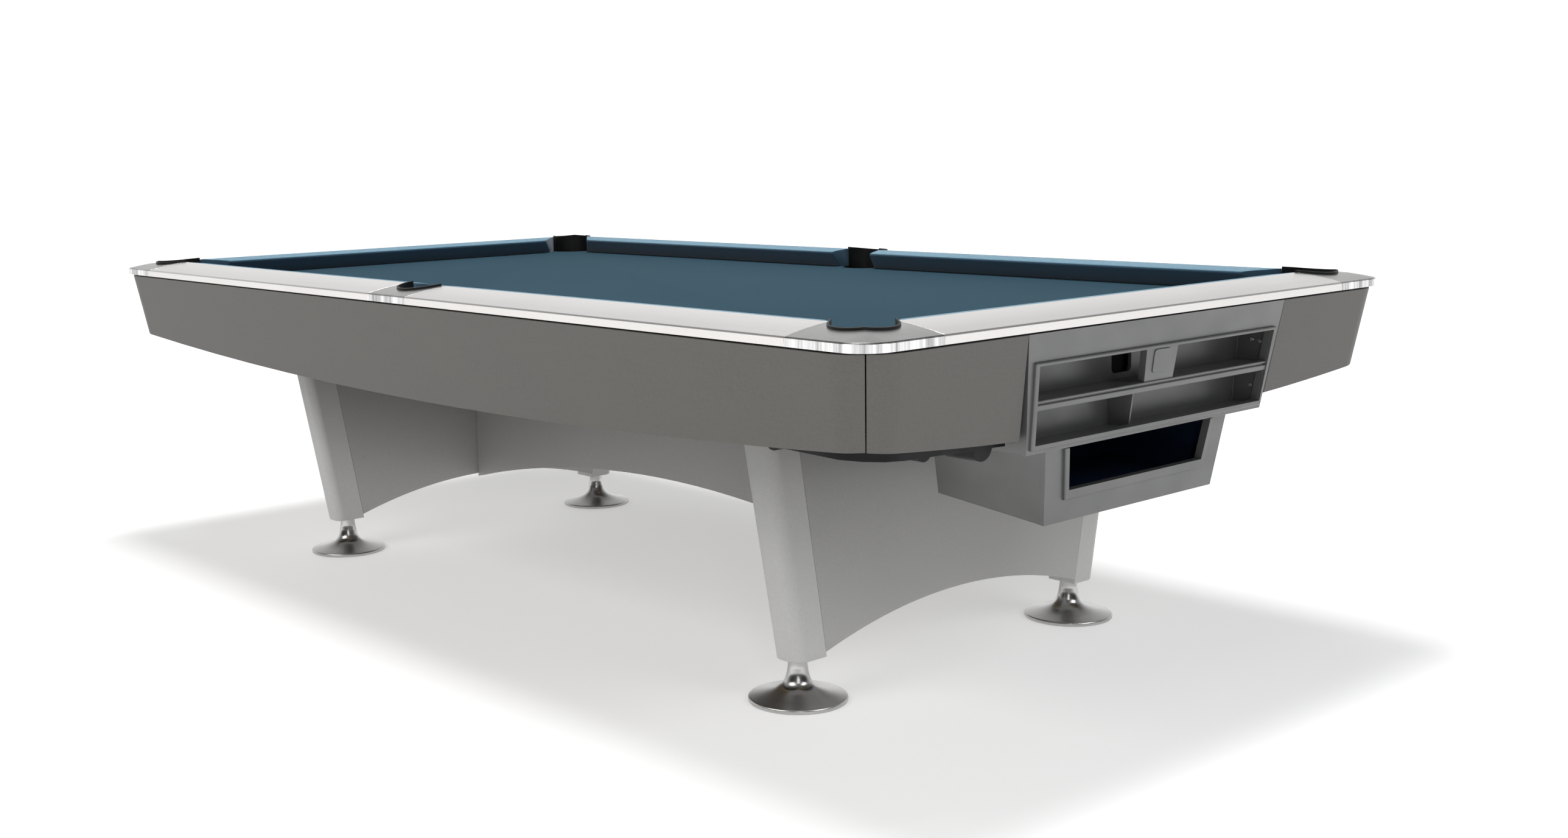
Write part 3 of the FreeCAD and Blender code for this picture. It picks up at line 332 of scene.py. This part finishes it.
def cushion_cloth():
    """The same cloth, with a paler blue painted on its upward faces over the top of the rubber: painted
    sheen.
    """
    base = (0.040, 0.080, 0.120)
    material, tree, shader, colour = cloth("cushion_worsted", base, shade(base, 1.25), 900.0, 0.16)
    shader.inputs["Sheen Weight"].default_value = 0.35
    shader.inputs["Sheen Roughness"].default_value = 0.4
    # Painted sheen: the faces that look up get a paler blue than the rest of the cloth.
    top = facing_up(tree, 0.55, 0.92)
    fuzz = noise(tree, stretched(tree, (90, 90, 500)), detail=3.0)
    pale = blend_colours(tree, remap(tree, fuzz, 0.0, 1.0), (0.14, 0.27, 0.36), (0.19, 0.34, 0.44))
    tree.links.new(blend_colours(tree, top, colour, pale), shader.inputs["Base Color"])
    return material


def moulded(name, base, rough, scale, depth, **sockets):
    """Moulded rubber or plastic with a fine grain and slightly rubbed patches."""
    material, tree, shader = new_material(name, **sockets)
    grain = noise(tree, stretched(tree, (scale, scale, scale)), detail=3.0, roughness=0.6)
    rubbed = noise(tree, stretched(tree, (22, 22, 22)), detail=4.0)
    colour = blend_colours(tree, remap(tree, rubbed, 0.0, 1.0), shade(base, 0.8), shade(base, 1.35))
    tree.links.new(colour, shader.inputs["Base Color"])
    tree.links.new(remap(tree, rubbed, rough - 0.08, rough + 0.08), shader.inputs["Roughness"])
    add_bump(tree, shader, grain, depth, 0.6)
    return material


def box_paint():
    """Satin silver paint over sheet metal, with a light orange peel."""
    base = (0.122, 0.124, 0.122)
    material, tree, shader = new_material("satin_box_paint", Metallic=0.35, Coat_Weight=0.15,
                                          Coat_Roughness=0.3)
    peel = noise(tree, stretched(tree, (260, 260, 260)), detail=2.0)
    flake = noise(tree, stretched(tree, (2200, 2200, 2200)), detail=1.0)
    dust = noise(tree, stretched(tree, (9, 9, 14)), detail=5.0)
    sparkle = blend_colours(tree, remap(tree, flake, 0.0, 1.0), shade(base, 0.88), shade(base, 1.14))
    colour = blend_colours(tree, remap(tree, dust, 0.0, 0.5), sparkle, shade(base, 0.82))
    tree.links.new(colour, shader.inputs["Base Color"])
    tree.links.new(remap(tree, dust, 0.34, 0.46), shader.inputs["Roughness"])
    add_bump(tree, shader, peel, 0.00012, 0.35)
    return material


def wood(name, base, dark, along):
    """Sawn timber, pale or black, with its grain along one axis."""
    material, tree, shader = new_material(name, Roughness=0.75)
    squeeze = [90, 90, 90]
    squeeze[along] = 5
    grain = noise(tree, stretched(tree, squeeze), detail=6.0, roughness=0.65)
    fibre = noise(tree, stretched(tree, [v * 9 for v in squeeze]), detail=2.0)
    rings = blend_colours(tree, remap(tree, grain, 0.0, 1.0), base, dark)
    colour = blend_colours(tree, remap(tree, fibre, 0.0, 0.5), rings, shade(base, 0.7))
    tree.links.new(colour, shader.inputs["Base Color"])
    add_bump(tree, shader, grain, 0.0004, 0.5)
    return material


def slate_stone():
    material, tree, shader = new_material("honed_slate", Roughness=0.6)
    layers = noise(tree, stretched(tree, (6, 6, 60)), detail=6.0, roughness=0.6)
    grain = noise(tree, stretched(tree, (400, 400, 400)), detail=3.0)
    stone = blend_colours(tree, remap(tree, layers, 0.0, 1.0), (0.045, 0.050, 0.055), (0.095, 0.100, 0.105))
    colour = blend_colours(tree, remap(tree, grain, 0.0, 0.3), stone, (0.14, 0.14, 0.145))
    tree.links.new(colour, shader.inputs["Base Color"])
    add_bump(tree, shader, grain, 0.0002, 0.4)
    return material


def felt():
    material, tree, shader = new_material("navy_felt", Roughness=0.95, Specular_IOR_Level=0.05)
    fibre = noise(tree, stretched(tree, (900, 900, 900)), detail=4.0, roughness=0.8)
    tuft = noise(tree, stretched(tree, (45, 45, 45)), detail=4.0)
    fine = blend_colours(tree, remap(tree, fibre, 0.0, 1.0), (0.004, 0.010, 0.026), (0.010, 0.024, 0.055))
    colour = blend_colours(tree, remap(tree, tuft, 0.0, 0.4), fine, (0.003, 0.007, 0.018))
    tree.links.new(colour, shader.inputs["Base Color"])
    add_bump(tree, shader, fibre, 0.0006, 0.7)
    return material


def pale_floor():
    """Pale paper sweep with a faint glow of its own that grows away from the table."""
    material, tree, shader = new_material("pale_floor", Roughness=0.9, Specular_IOR_Level=0.1)
    shader.inputs["Emission Color"].default_value = (1.0, 1.0, 1.0, 1.0)
    coords = tree.nodes.new("ShaderNodeTexCoord")
    distance = tree.nodes.new("ShaderNodeVectorMath")
    distance.operation = "LENGTH"
    tree.links.new(coords.outputs["Object"], distance.inputs[0])
    glow = remap(tree, distance.outputs["Value"], 0.40, 1.0, 1.6, 5.5)
    tree.links.new(glow, shader.inputs["Emission Strength"])
    patch = noise(tree, stretched(tree, (0.7, 0.7, 0.7)), detail=2.0)
    colour = blend_colours(tree, remap(tree, patch, 0.0, 1.0), (0.88, 0.88, 0.885), (0.90, 0.90, 0.90))
    tree.links.new(colour, shader.inputs["Base Color"])
    return material


def finishes():
    """Every finish by the record's material slot; rails and timber also by direction."""
    grey = (0.097, 0.095, 0.089)
    silver = (0.30, 0.30, 0.296)
    pale = (0.74, 0.72, 0.705)
    slate_blue = (0.034, 0.071, 0.098)
    return {
        "slate": slate_stone(),
        "bed_cloth": cloth("bed_worsted", slate_blue, shade(slate_blue, 1.16), 900.0, 0.14)[0],
        "cushion_cloth": cushion_cloth(),
        "frame_wood": wood("sawn_softwood", (0.50, 0.37, 0.22), (0.36, 0.24, 0.13), 0),
        "frame_wood_across": wood("sawn_softwood_across", (0.50, 0.37, 0.22), (0.36, 0.24, 0.13), 1),
        # The black wood for the sub rails is painted shade: it makes the gap under the fascia dark.
        "black_wood": wood("black_wood_painted_gap_shade", (0.012, 0.012, 0.012), (0.006, 0.006, 0.006), 0),
        "rail_along": brushed_metal("rail_brushed_along", pale, 0.30, (6, 900, 900), 0.05),
        "rail_across": brushed_metal("rail_brushed_across", pale, 0.30, (900, 6, 900), 0.05),
        "cap_aluminium": cap_metal("cap_brushed_and_polished"),
        "zinc_steel": brushed_metal("zinc_plate", (0.62, 0.62, 0.60), 0.25, (500, 500, 500), 0.10),
        "black_rubber": moulded("black_rubber_grain", (0.005, 0.0055, 0.006), 0.48, 900.0, 0.0001,
                                Specular_IOR_Level=0.25),
        "black_plastic": moulded("black_gully_plastic", (0.004, 0.004, 0.0045), 0.45, 600.0, 0.0001,
                                 Specular_IOR_Level=0.2),
        "apron_laminate": laminate("apron_silver_laminate", grey, (0.112, 0.100, 0.090), 0.22, 0.52),
        # Base panels and leg columns share one silver laminate, each with its own painted shade: dark at the
        # top, pale at the foot.
        "base_laminate": laminate("base_silver_laminate", silver, (0.318, 0.314, 0.305), 0.10, 0.50,
                                  (0.12, 0.52, 0.52, 1.50)),
        "column_laminate": laminate("column_silver_laminate", silver, (0.318, 0.314, 0.305), 0.10, 0.50,
                                    (0.10, 0.55, 0.72, 1.95)),
        "box_paint": box_paint(),
        "navy_lining": felt(),
    }


# --- geometry helpers -----------------------------------------------------------

def clean_normals(mesh, sharp):
    stale = mesh.attributes.get("custom_normal")
    if stale is not None:
        mesh.attributes.remove(stale)
    mesh.shade_smooth()
    mesh.set_sharp_from_angle(angle=math.radians(sharp))


def weigh_normals(piece):
    modifier = piece.modifiers.new("flat_faces_first", "WEIGHTED_NORMAL")
    modifier.keep_sharp = True
    modifier.weight = 90


def add_bevel(piece, width, segments=2, angle=32.0):
    modifier = piece.modifiers.new("soft_edges", "BEVEL")
    modifier.width = width
    modifier.segments = segments
    modifier.limit_method = "ANGLE"
    modifier.angle_limit = math.radians(angle)
    modifier.use_clamp_overlap = True


def stand_for(piece, material, node):
    """The piece is shown instead of a CAD node and moves with its body."""
    piece.data.materials.clear()
    piece.data.materials.append(material)
    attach(piece, BODY_OF[node])
    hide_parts(node)
    return piece


def refined(node, material, bevel=0.6 * MM, segments=2, sharp=32.0):
    """A copy of a CAD node with merged faces, softened edges and even shading."""
    mesh = NODES[node].data.copy()
    bm = bmesh.new()
    bm.from_mesh(mesh)
    bmesh.ops.remove_doubles(bm, verts=bm.verts, dist=0.002 * MM)
    bmesh.ops.dissolve_limit(bm, angle_limit=math.radians(0.35), verts=bm.verts, edges=bm.edges)
    bm.to_mesh(mesh)
    bm.free()
    piece = bpy.data.objects.new(node + "_shown", mesh)
    SCENE.collection.objects.link(piece)
    clean_normals(mesh, sharp)
    if bevel > 0:
        add_bevel(piece, bevel, segments, sharp)
    weigh_normals(piece)
    return stand_for(piece, material, node)


def mesh_piece(name, points, faces, sharp=32.0):
    mesh = bpy.data.meshes.new(name)
    mesh.from_pydata([tuple(point) for point in points], [], faces)
    bm = bmesh.new()
    bm.from_mesh(mesh)
    bmesh.ops.recalc_face_normals(bm, faces=bm.faces)
    bm.to_mesh(mesh)
    bm.free()
    piece = bpy.data.objects.new(name, mesh)
    SCENE.collection.objects.link(piece)
    clean_normals(mesh, sharp)
    return piece


def rings_to_faces(ring_count, ring_size, closed_ring=True):
    """Quads between neighbouring rings of points."""
    faces = []
    last = ring_size if closed_ring else ring_size - 1
    for r in range(ring_count - 1):
        for i in range(last):
            j = (i + 1) % ring_size
            near, far = r * ring_size, (r + 1) * ring_size
            faces.append((near + i, near + j, far + j, far + i))
    return faces


def smooth_through(points, steps):
    """Points on a smooth curve through the given (a, b) points."""
    padded = [points[0], *points, points[-1]]
    result = []
    for k in range(1, len(padded) - 2):
        p0, p1, p2, p3 = (Vector(p) for p in padded[k - 1:k + 3])
        for s in range(steps):
            t = s / steps
            point = 0.5 * (2 * p1 + (p2 - p0) * t + (2 * p0 - 5 * p1 + 4 * p2 - p3) * t * t
                           + (3 * p1 - p0 - 3 * p2 + p3) * t ** 3)
            result.append(tuple(point))
    result.append(tuple(points[-1]))
    return result


# --- levelling feet -------------------------------------------------------------

def turned_foot(corner):
    """Disc, flared stem and stud turned from one bar, with a rolled rim and a fine groove."""
    node = "leveller_" + corner
    low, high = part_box(node)
    centre = (low + high) / 2
    disc = (high.x - low.x) / 2
    stem_top = LEG_BOTTOM - 0.3 * MM
    flare = [(disc - 2.2 * MM, 9.2 * MM), (80 * MM, 12.6 * MM), (62 * MM, 17.0 * MM), (46 * MM, 22.4 * MM),
             (36 * MM, 28.0 * MM), (28.5 * MM, 36 * MM), (24.5 * MM, 44 * MM), (22 * MM, 53 * MM),
             (20.5 * MM, 62 * MM), (19.2 * MM, 72 * MM), (18.5 * MM, stem_top)]
    profile = [(0.0, 0.0), (disc - 2.5 * MM, 0.0), (disc - 0.9 * MM, 0.5 * MM), (disc - 0.1 * MM, 1.8 * MM)]
    profile += [(disc, 3.0 * MM), (disc, 6.4 * MM), (disc - 0.3 * MM, 7.6 * MM), (disc - 1.1 * MM, 8.7 * MM)]
    profile += smooth_through(flare, 4)
    profile += [(17.6 * MM, stem_top), (9.5 * MM, stem_top), (9.5 * MM, high.z - 2 * MM),
                (7.5 * MM, high.z), (0.0, high.z)]
    count = 120
    points = [(centre.x, centre.y, profile[0][1])]
    for radius, z in profile[1:-1]:
        for i in range(count):
            angle = 2 * math.pi * i / count
            points.append((centre.x + radius * math.cos(angle), centre.y + radius * math.sin(angle), z))
    points.append((centre.x, centre.y, profile[-1][1]))
    rings = len(profile) - 2
    faces = [tuple(v + 1 for v in face) for face in rings_to_faces(rings, count)]
    top = len(points) - 1
    for i in range(count):
        j = (i + 1) % count
        faces.append((0, 1 + j, 1 + i))
        faces.append((top, top - count + i, top - count + j))
    piece = mesh_piece("turned_foot_" + corner, points, faces, 28.0)
    weigh_normals(piece)
    return stand_for(piece, turned_metal("turned_steel_" + corner, centre), node)


# --- cushions -------------------------------------------------------------------

def cushion_section():
    """(depth from the nose, z) round a rubber cushion under its cloth, from the back top."""
    nose = BED_Z + NOSE_HEIGHT
    top = CUSHION_TOP
    points = [(CUSHION_DEPTH, top - 1.2 * MM), (CUSHION_DEPTH - 1.0 * MM, top - 0.3 * MM)]
    points += [(CUSHION_DEPTH - 3.0 * MM, top), (34 * MM, top - 1.5 * MM), (20 * MM, top - 3.0 * MM),
               (9 * MM, top - 4.6 * MM)]
    for turn in range(75, -40, -15):
        angle = math.radians(180 - turn)
        points.append((NOSE_R + NOSE_R * math.cos(angle), nose + NOSE_R * math.sin(angle)))
    points += [(9.5 * MM, BED_Z + 21 * MM), (16 * MM, BED_Z + 12.5 * MM), (21 * MM, BED_Z + 6.5 * MM),
               (25 * MM, BED_Z + 1.2 * MM), (27 * MM, BED_Z + 0.3 * MM), (CUSHION_DEPTH, BED_Z + 0.3 * MM)]
    return points


def add_cushion(name, start, end, start_slope, end_slope, to_world, material):
    """Cushion whose two ends lean by slope per metre of depth and are rounded by the folded cloth."""
    section = cushion_section()
    middle = (sum(p[0] for p in section) / len(section), sum(p[1] for p in section) / len(section))
    steps = 36
    rows = []
    for inset, shrink in ((0.0, 0.12), (0.5 * MM, 0.05), (1.6 * MM, 0.015), (4.0 * MM, 0.0)):
        rows.append((start + inset, start_slope, shrink))
    for k in range(1, steps):
        t = k / steps
        spread = start_slope * max(0.0, 1 - 6 * t) + end_slope * max(0.0, 6 * t - 5)
        rows.append((start + (end - start) * t, spread, 0.0))
    for inset, shrink in ((4.0 * MM, 0.0), (1.6 * MM, 0.015), (0.5 * MM, 0.05), (0.0, 0.12)):
        rows.append((end - inset, end_slope, shrink))
    points = []
    for place, slope, shrink in rows:
        for depth, z in section:
            held = depth > CUSHION_DEPTH - 4 * MM or z < BED_Z + 2 * MM
            pull = 0.0 if held else shrink
            depth_in = depth + (middle[0] - depth) * pull
            z_in = z + (middle[1] - z) * pull
            points.append(to_world(place + slope * depth_in, depth_in, z_in))
    size = len(section)
    faces = rings_to_faces(len(rows), size)
    faces.append(tuple(range(size)))
    faces.append(tuple(range((len(rows) - 1) * size, len(rows) * size)))
    piece = mesh_piece(name + "_padded", points, faces, 50.0)
    stand_for(piece, material, name)
    return piece


def add_cushions(material):
    tip = nose_half("cushion_foot_end")
    corner_cut = corner_slope("cushion_foot_end")
    side_gap, side_cut = side_end()
    for end, sx in (("foot", 1), ("head", -1)):
        place = lambda along, depth, z, s=sx: (s * (NOSE_X + depth), along, z)
        add_cushion("cushion_" + end + "_end", -tip, tip, -corner_cut, corner_cut, place, material)
        for side, sy in SIDES.items():
            place = lambda along, depth, z, s=sx, t=sy: (s * along, t * (NOSE_Y + depth), z)
            long_tip = NOSE_X - (NOSE_Y - tip)
            add_cushion("cushion_" + end + "_" + side, side_gap, long_tip, -side_cut, corner_cut,
                        place, material)


def nose_half(node):
    """Half the length of an end cushion's nose, read from its CAD vertices."""
    near = [abs(v.co.y) for v in NODES[node].data.vertices if v.co.x < NOSE_X + 0.1 * MM]
    return max(near)


def corner_slope(node):
    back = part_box(node)[1].y
    return (back - nose_half(node)) / CUSHION_DEPTH


def side_end():
    """Where a side cushion starts at the side pocket, and how its end leans."""
    vertices = NODES["cushion_foot_right"].data.vertices
    nose = min(v.co.x for v in vertices if v.co.y < NOSE_Y + 0.1 * MM)
    back = min(v.co.x for v in vertices)
    return nose, (nose - back) / CUSHION_DEPTH


# --- bed cloth ------------------------------------------------------------------

def pocket_cuts():
    """Each pocket's cut in the cloth, in order round the sheet: (centre, angles, mirror signs)."""
    corner = Vector((NOSE_X + CORNER_POCKET_OUT, NOSE_Y + CORNER_POCKET_OUT))
    side = Vector((0.0, NOSE_Y + SIDE_POCKET_OUT))
    radius = CLOTH_HOLE_R + CLOTH_ROLL[0][0]
    half = math.asin((SLATE_Y - side.y) / radius)
    corner_ends = (math.pi - math.asin((SLATE_Y - corner.y) / radius),
                   2 * math.pi - math.acos((SLATE_X - corner.x) / radius))
    side_ends = (math.pi - half, 2 * math.pi + half)

    def angles(ends):
        return [ends[0] + (ends[1] - ends[0]) * i / CUT_STEPS for i in range(CUT_STEPS + 1)]

    corner_arc, side_arc = angles(corner_ends), angles(side_ends)
    return [(corner, corner_arc, (1, 1)), (corner, corner_arc[::-1], (1, -1)),
            (side, side_arc[::-1], (1, -1)), (corner, corner_arc, (-1, -1)),
            (corner, corner_arc[::-1], (-1, 1)), (side, side_arc, (1, 1))]


def add_bed_cloth(material):
    """One sheet stretched over the slate, its cut edges rolled down into the pockets."""
    points, outline, strips = [], [], []
    for centre, angles, (sx, sy) in pocket_cuts():
        previous = None
        for grow, drop in CLOTH_ROLL:
            row = []
            for angle in angles:
                x = min(centre.x + (CLOTH_HOLE_R + grow) * math.cos(angle), SLATE_X)
                y = min(centre.y + (CLOTH_HOLE_R + grow) * math.sin(angle), SLATE_Y)
                row.append(len(points))
                points.append((sx * x, sy * y, BED_Z + drop))
            if previous is None:
                outline += row
            else:
                strips += [(previous[i], previous[i + 1], row[i + 1], row[i]) for i in range(CUT_STEPS)]
            previous = row
    piece = mesh_piece("bed_cloth_stretched", points, [tuple(outline)] + strips, 40.0)
    turn_sheet_up(piece.data)
    thick = piece.modifiers.new("cloth_thickness", "SOLIDIFY")
    thick.thickness = CLOTH_THICK
    thick.offset = -1.0
    stand_for(piece, material, "bed_cloth")
    return piece


def turn_sheet_up(mesh):
    """Turns every face over if the sheet's one large face looks down."""
    bm = bmesh.new()
    bm.from_mesh(mesh)
    if any(face.calc_area() > 1.0 and face.normal.z < 0 for face in bm.faces):
        bmesh.ops.reverse_faces(bm, faces=bm.faces)
    bm.to_mesh(mesh)
    bm.free()


# --- the whole table --------------------------------------------------------------

def paint(node, material):
    """Keeps a CAD node and gives it a better finish."""
    for material_slot in NODES[node].material_slots:
        material_slot.material = material


def dress_table(looks):
    for node in ("slate_head", "slate_middle", "slate_foot"):
        paint(node, looks["slate"])
    paint("frame_side_beams", looks["frame_wood"])
    paint("frame_cross_beams", looks["frame_wood_across"])
    # The sub rails are black as painted shade for the gap under the fascia.
    paint("sub_rails", looks["black_wood"])
    for rail in RAILS:
        look = looks["rail_across"] if rail.endswith("end") else looks["rail_along"]
        refined("rail_top_" + rail, look, 0.5 * MM)
    for corner in CORNERS:
        refined("corner_cap_" + corner, looks["cap_aluminium"], 0.6 * MM)
        refined("pocket_liner_" + corner, looks["black_rubber"], 1.2 * MM, 3)
        refined("leg_column_" + corner, looks["column_laminate"], 0.8 * MM)
        turned_foot(corner)
    for side in SIDES:
        refined("side_cap_" + side, looks["cap_aluminium"], 0.6 * MM)
        refined("pocket_liner_side_" + side, looks["black_rubber"], 1.2 * MM, 3)
        refined("ball_track_" + side, looks["black_plastic"], 0.8 * MM)
        refined("apron_" + side, looks["apron_laminate"], 1.0 * MM)
        refined("apron_foot_" + side, looks["apron_laminate"], 1.0 * MM)
    refined("apron_head", looks["apron_laminate"], 1.0 * MM)
    for node in ("pedestal_panel_foot", "pedestal_panel_head", "stretcher_panel"):
        refined(node, looks["base_laminate"], 0.8 * MM)
    for node in ("rail_bolts", "threaded_inserts", "ball_box_screws"):
        refined(node, looks["zinc_steel"], 0.4 * MM)
    for node in ("ball_box_face", "ball_box_housing", "face_badge", "lower_box_housing", "lower_box_face",
                 "upper_ball_tray", "lower_ball_tray"):
        refined(node, looks["box_paint"], 0.8 * MM)
    refined("lower_box_lining", looks["navy_lining"], 0.6 * MM)
    add_cushions(looks["cushion_cloth"])
    add_bed_cloth(looks["bed_cloth"])


# --- studio -----------------------------------------------------------------------

def add_floor():
    half = FLOOR_HALF
    corners = [(-half, -half, 0), (half, -half, 0), (half, half, 0), (-half, half, 0)]
    floor = mesh_piece("floor", corners, [(0, 1, 2, 3)])
    floor.data.materials.append(pale_floor())


def add_softbox(name, place, aim, size, power, colour=(1.0, 1.0, 1.0)):
    data = bpy.data.lights.new(name, "AREA")
    data.shape = "RECTANGLE"
    data.size, data.size_y = size
    data.energy = power
    data.color = colour
    light = bpy.data.objects.new(name, data)
    direction = Vector(aim) - Vector(place)
    light.rotation_euler = direction.to_track_quat("-Z", "Y").to_euler()
    light.location = place
    SCENE.collection.objects.link(light)


def add_world():
    """White to the camera; for light and reflections bright beyond the table and dim behind the camera."""
    world = bpy.data.worlds.new("studio")
    world.use_nodes = True
    SCENE.world = world
    tree = world.node_tree
    output = tree.nodes["World Output"]
    surround = tree.nodes["Background"]
    coords = tree.nodes.new("ShaderNodeTexCoord")
    split = tree.nodes.new("ShaderNodeSeparateXYZ")
    tree.links.new(coords.outputs["Generated"], split.inputs["Vector"])
    beyond = tree.nodes.new("ShaderNodeVectorMath")
    beyond.operation = "DOT_PRODUCT"
    beyond.inputs[1].default_value = BEYOND
    tree.links.new(coords.outputs["Generated"], beyond.inputs[0])
    horizon = remap(tree, beyond.outputs["Value"], DIM_SIDE, BRIGHT_SIDE, -0.2, 0.7)
    fade = remap(tree, split.outputs["Z"], 1.0, 0.0, 0.15, 0.75)
    zenith = remap(tree, split.outputs["Z"], 0.0, OVERHEAD_GLOW, 0.3, 0.8)
    strength = math_node(tree, "ADD", math_node(tree, "MULTIPLY", horizon, fade), zenith)
    tree.links.new(strength, surround.inputs["Strength"])
    surround.inputs["Color"].default_value = (1.0, 1.0, 1.0, 1.0)
    backdrop = tree.nodes.new("ShaderNodeBackground")
    backdrop.inputs["Color"].default_value = (1.0, 1.0, 1.0, 1.0)
    backdrop.inputs["Strength"].default_value = 1.05
    rays = tree.nodes.new("ShaderNodeLightPath")
    mix = tree.nodes.new("ShaderNodeMixShader")
    tree.links.new(rays.outputs["Is Camera Ray"], mix.inputs["Fac"])
    tree.links.new(surround.outputs["Background"], mix.inputs[1])
    tree.links.new(backdrop.outputs["Background"], mix.inputs[2])
    tree.links.new(mix.outputs["Shader"], output.inputs["Surface"])


def add_studio():
    SCENE.view_settings.view_transform = "Standard"
    add_world()
    add_floor()
    add_softbox("overhead", (-0.3, 0.1, 6.2), (0, 0, 0.7), (2.4, 1.6), 300.0)
    add_softbox("right_fill", (6.2, 0.8, 4.0), (1.0, 0, 0.4), (3.0, 2.4), 95.0, (0.97, 0.985, 1.0))
    add_softbox("front_strip", (4.6, -3.4, 1.9), (1.0, 0, 0.2), (0.35, 2.4), 26.0)
    add_softbox("left_fill", (0.2, -5.6, 4.0), (0, 0, 0.4), (4.5, 2.4), 110.0, (1.0, 0.985, 0.96))


add_camera()
add_studio()
dress_table(finishes())
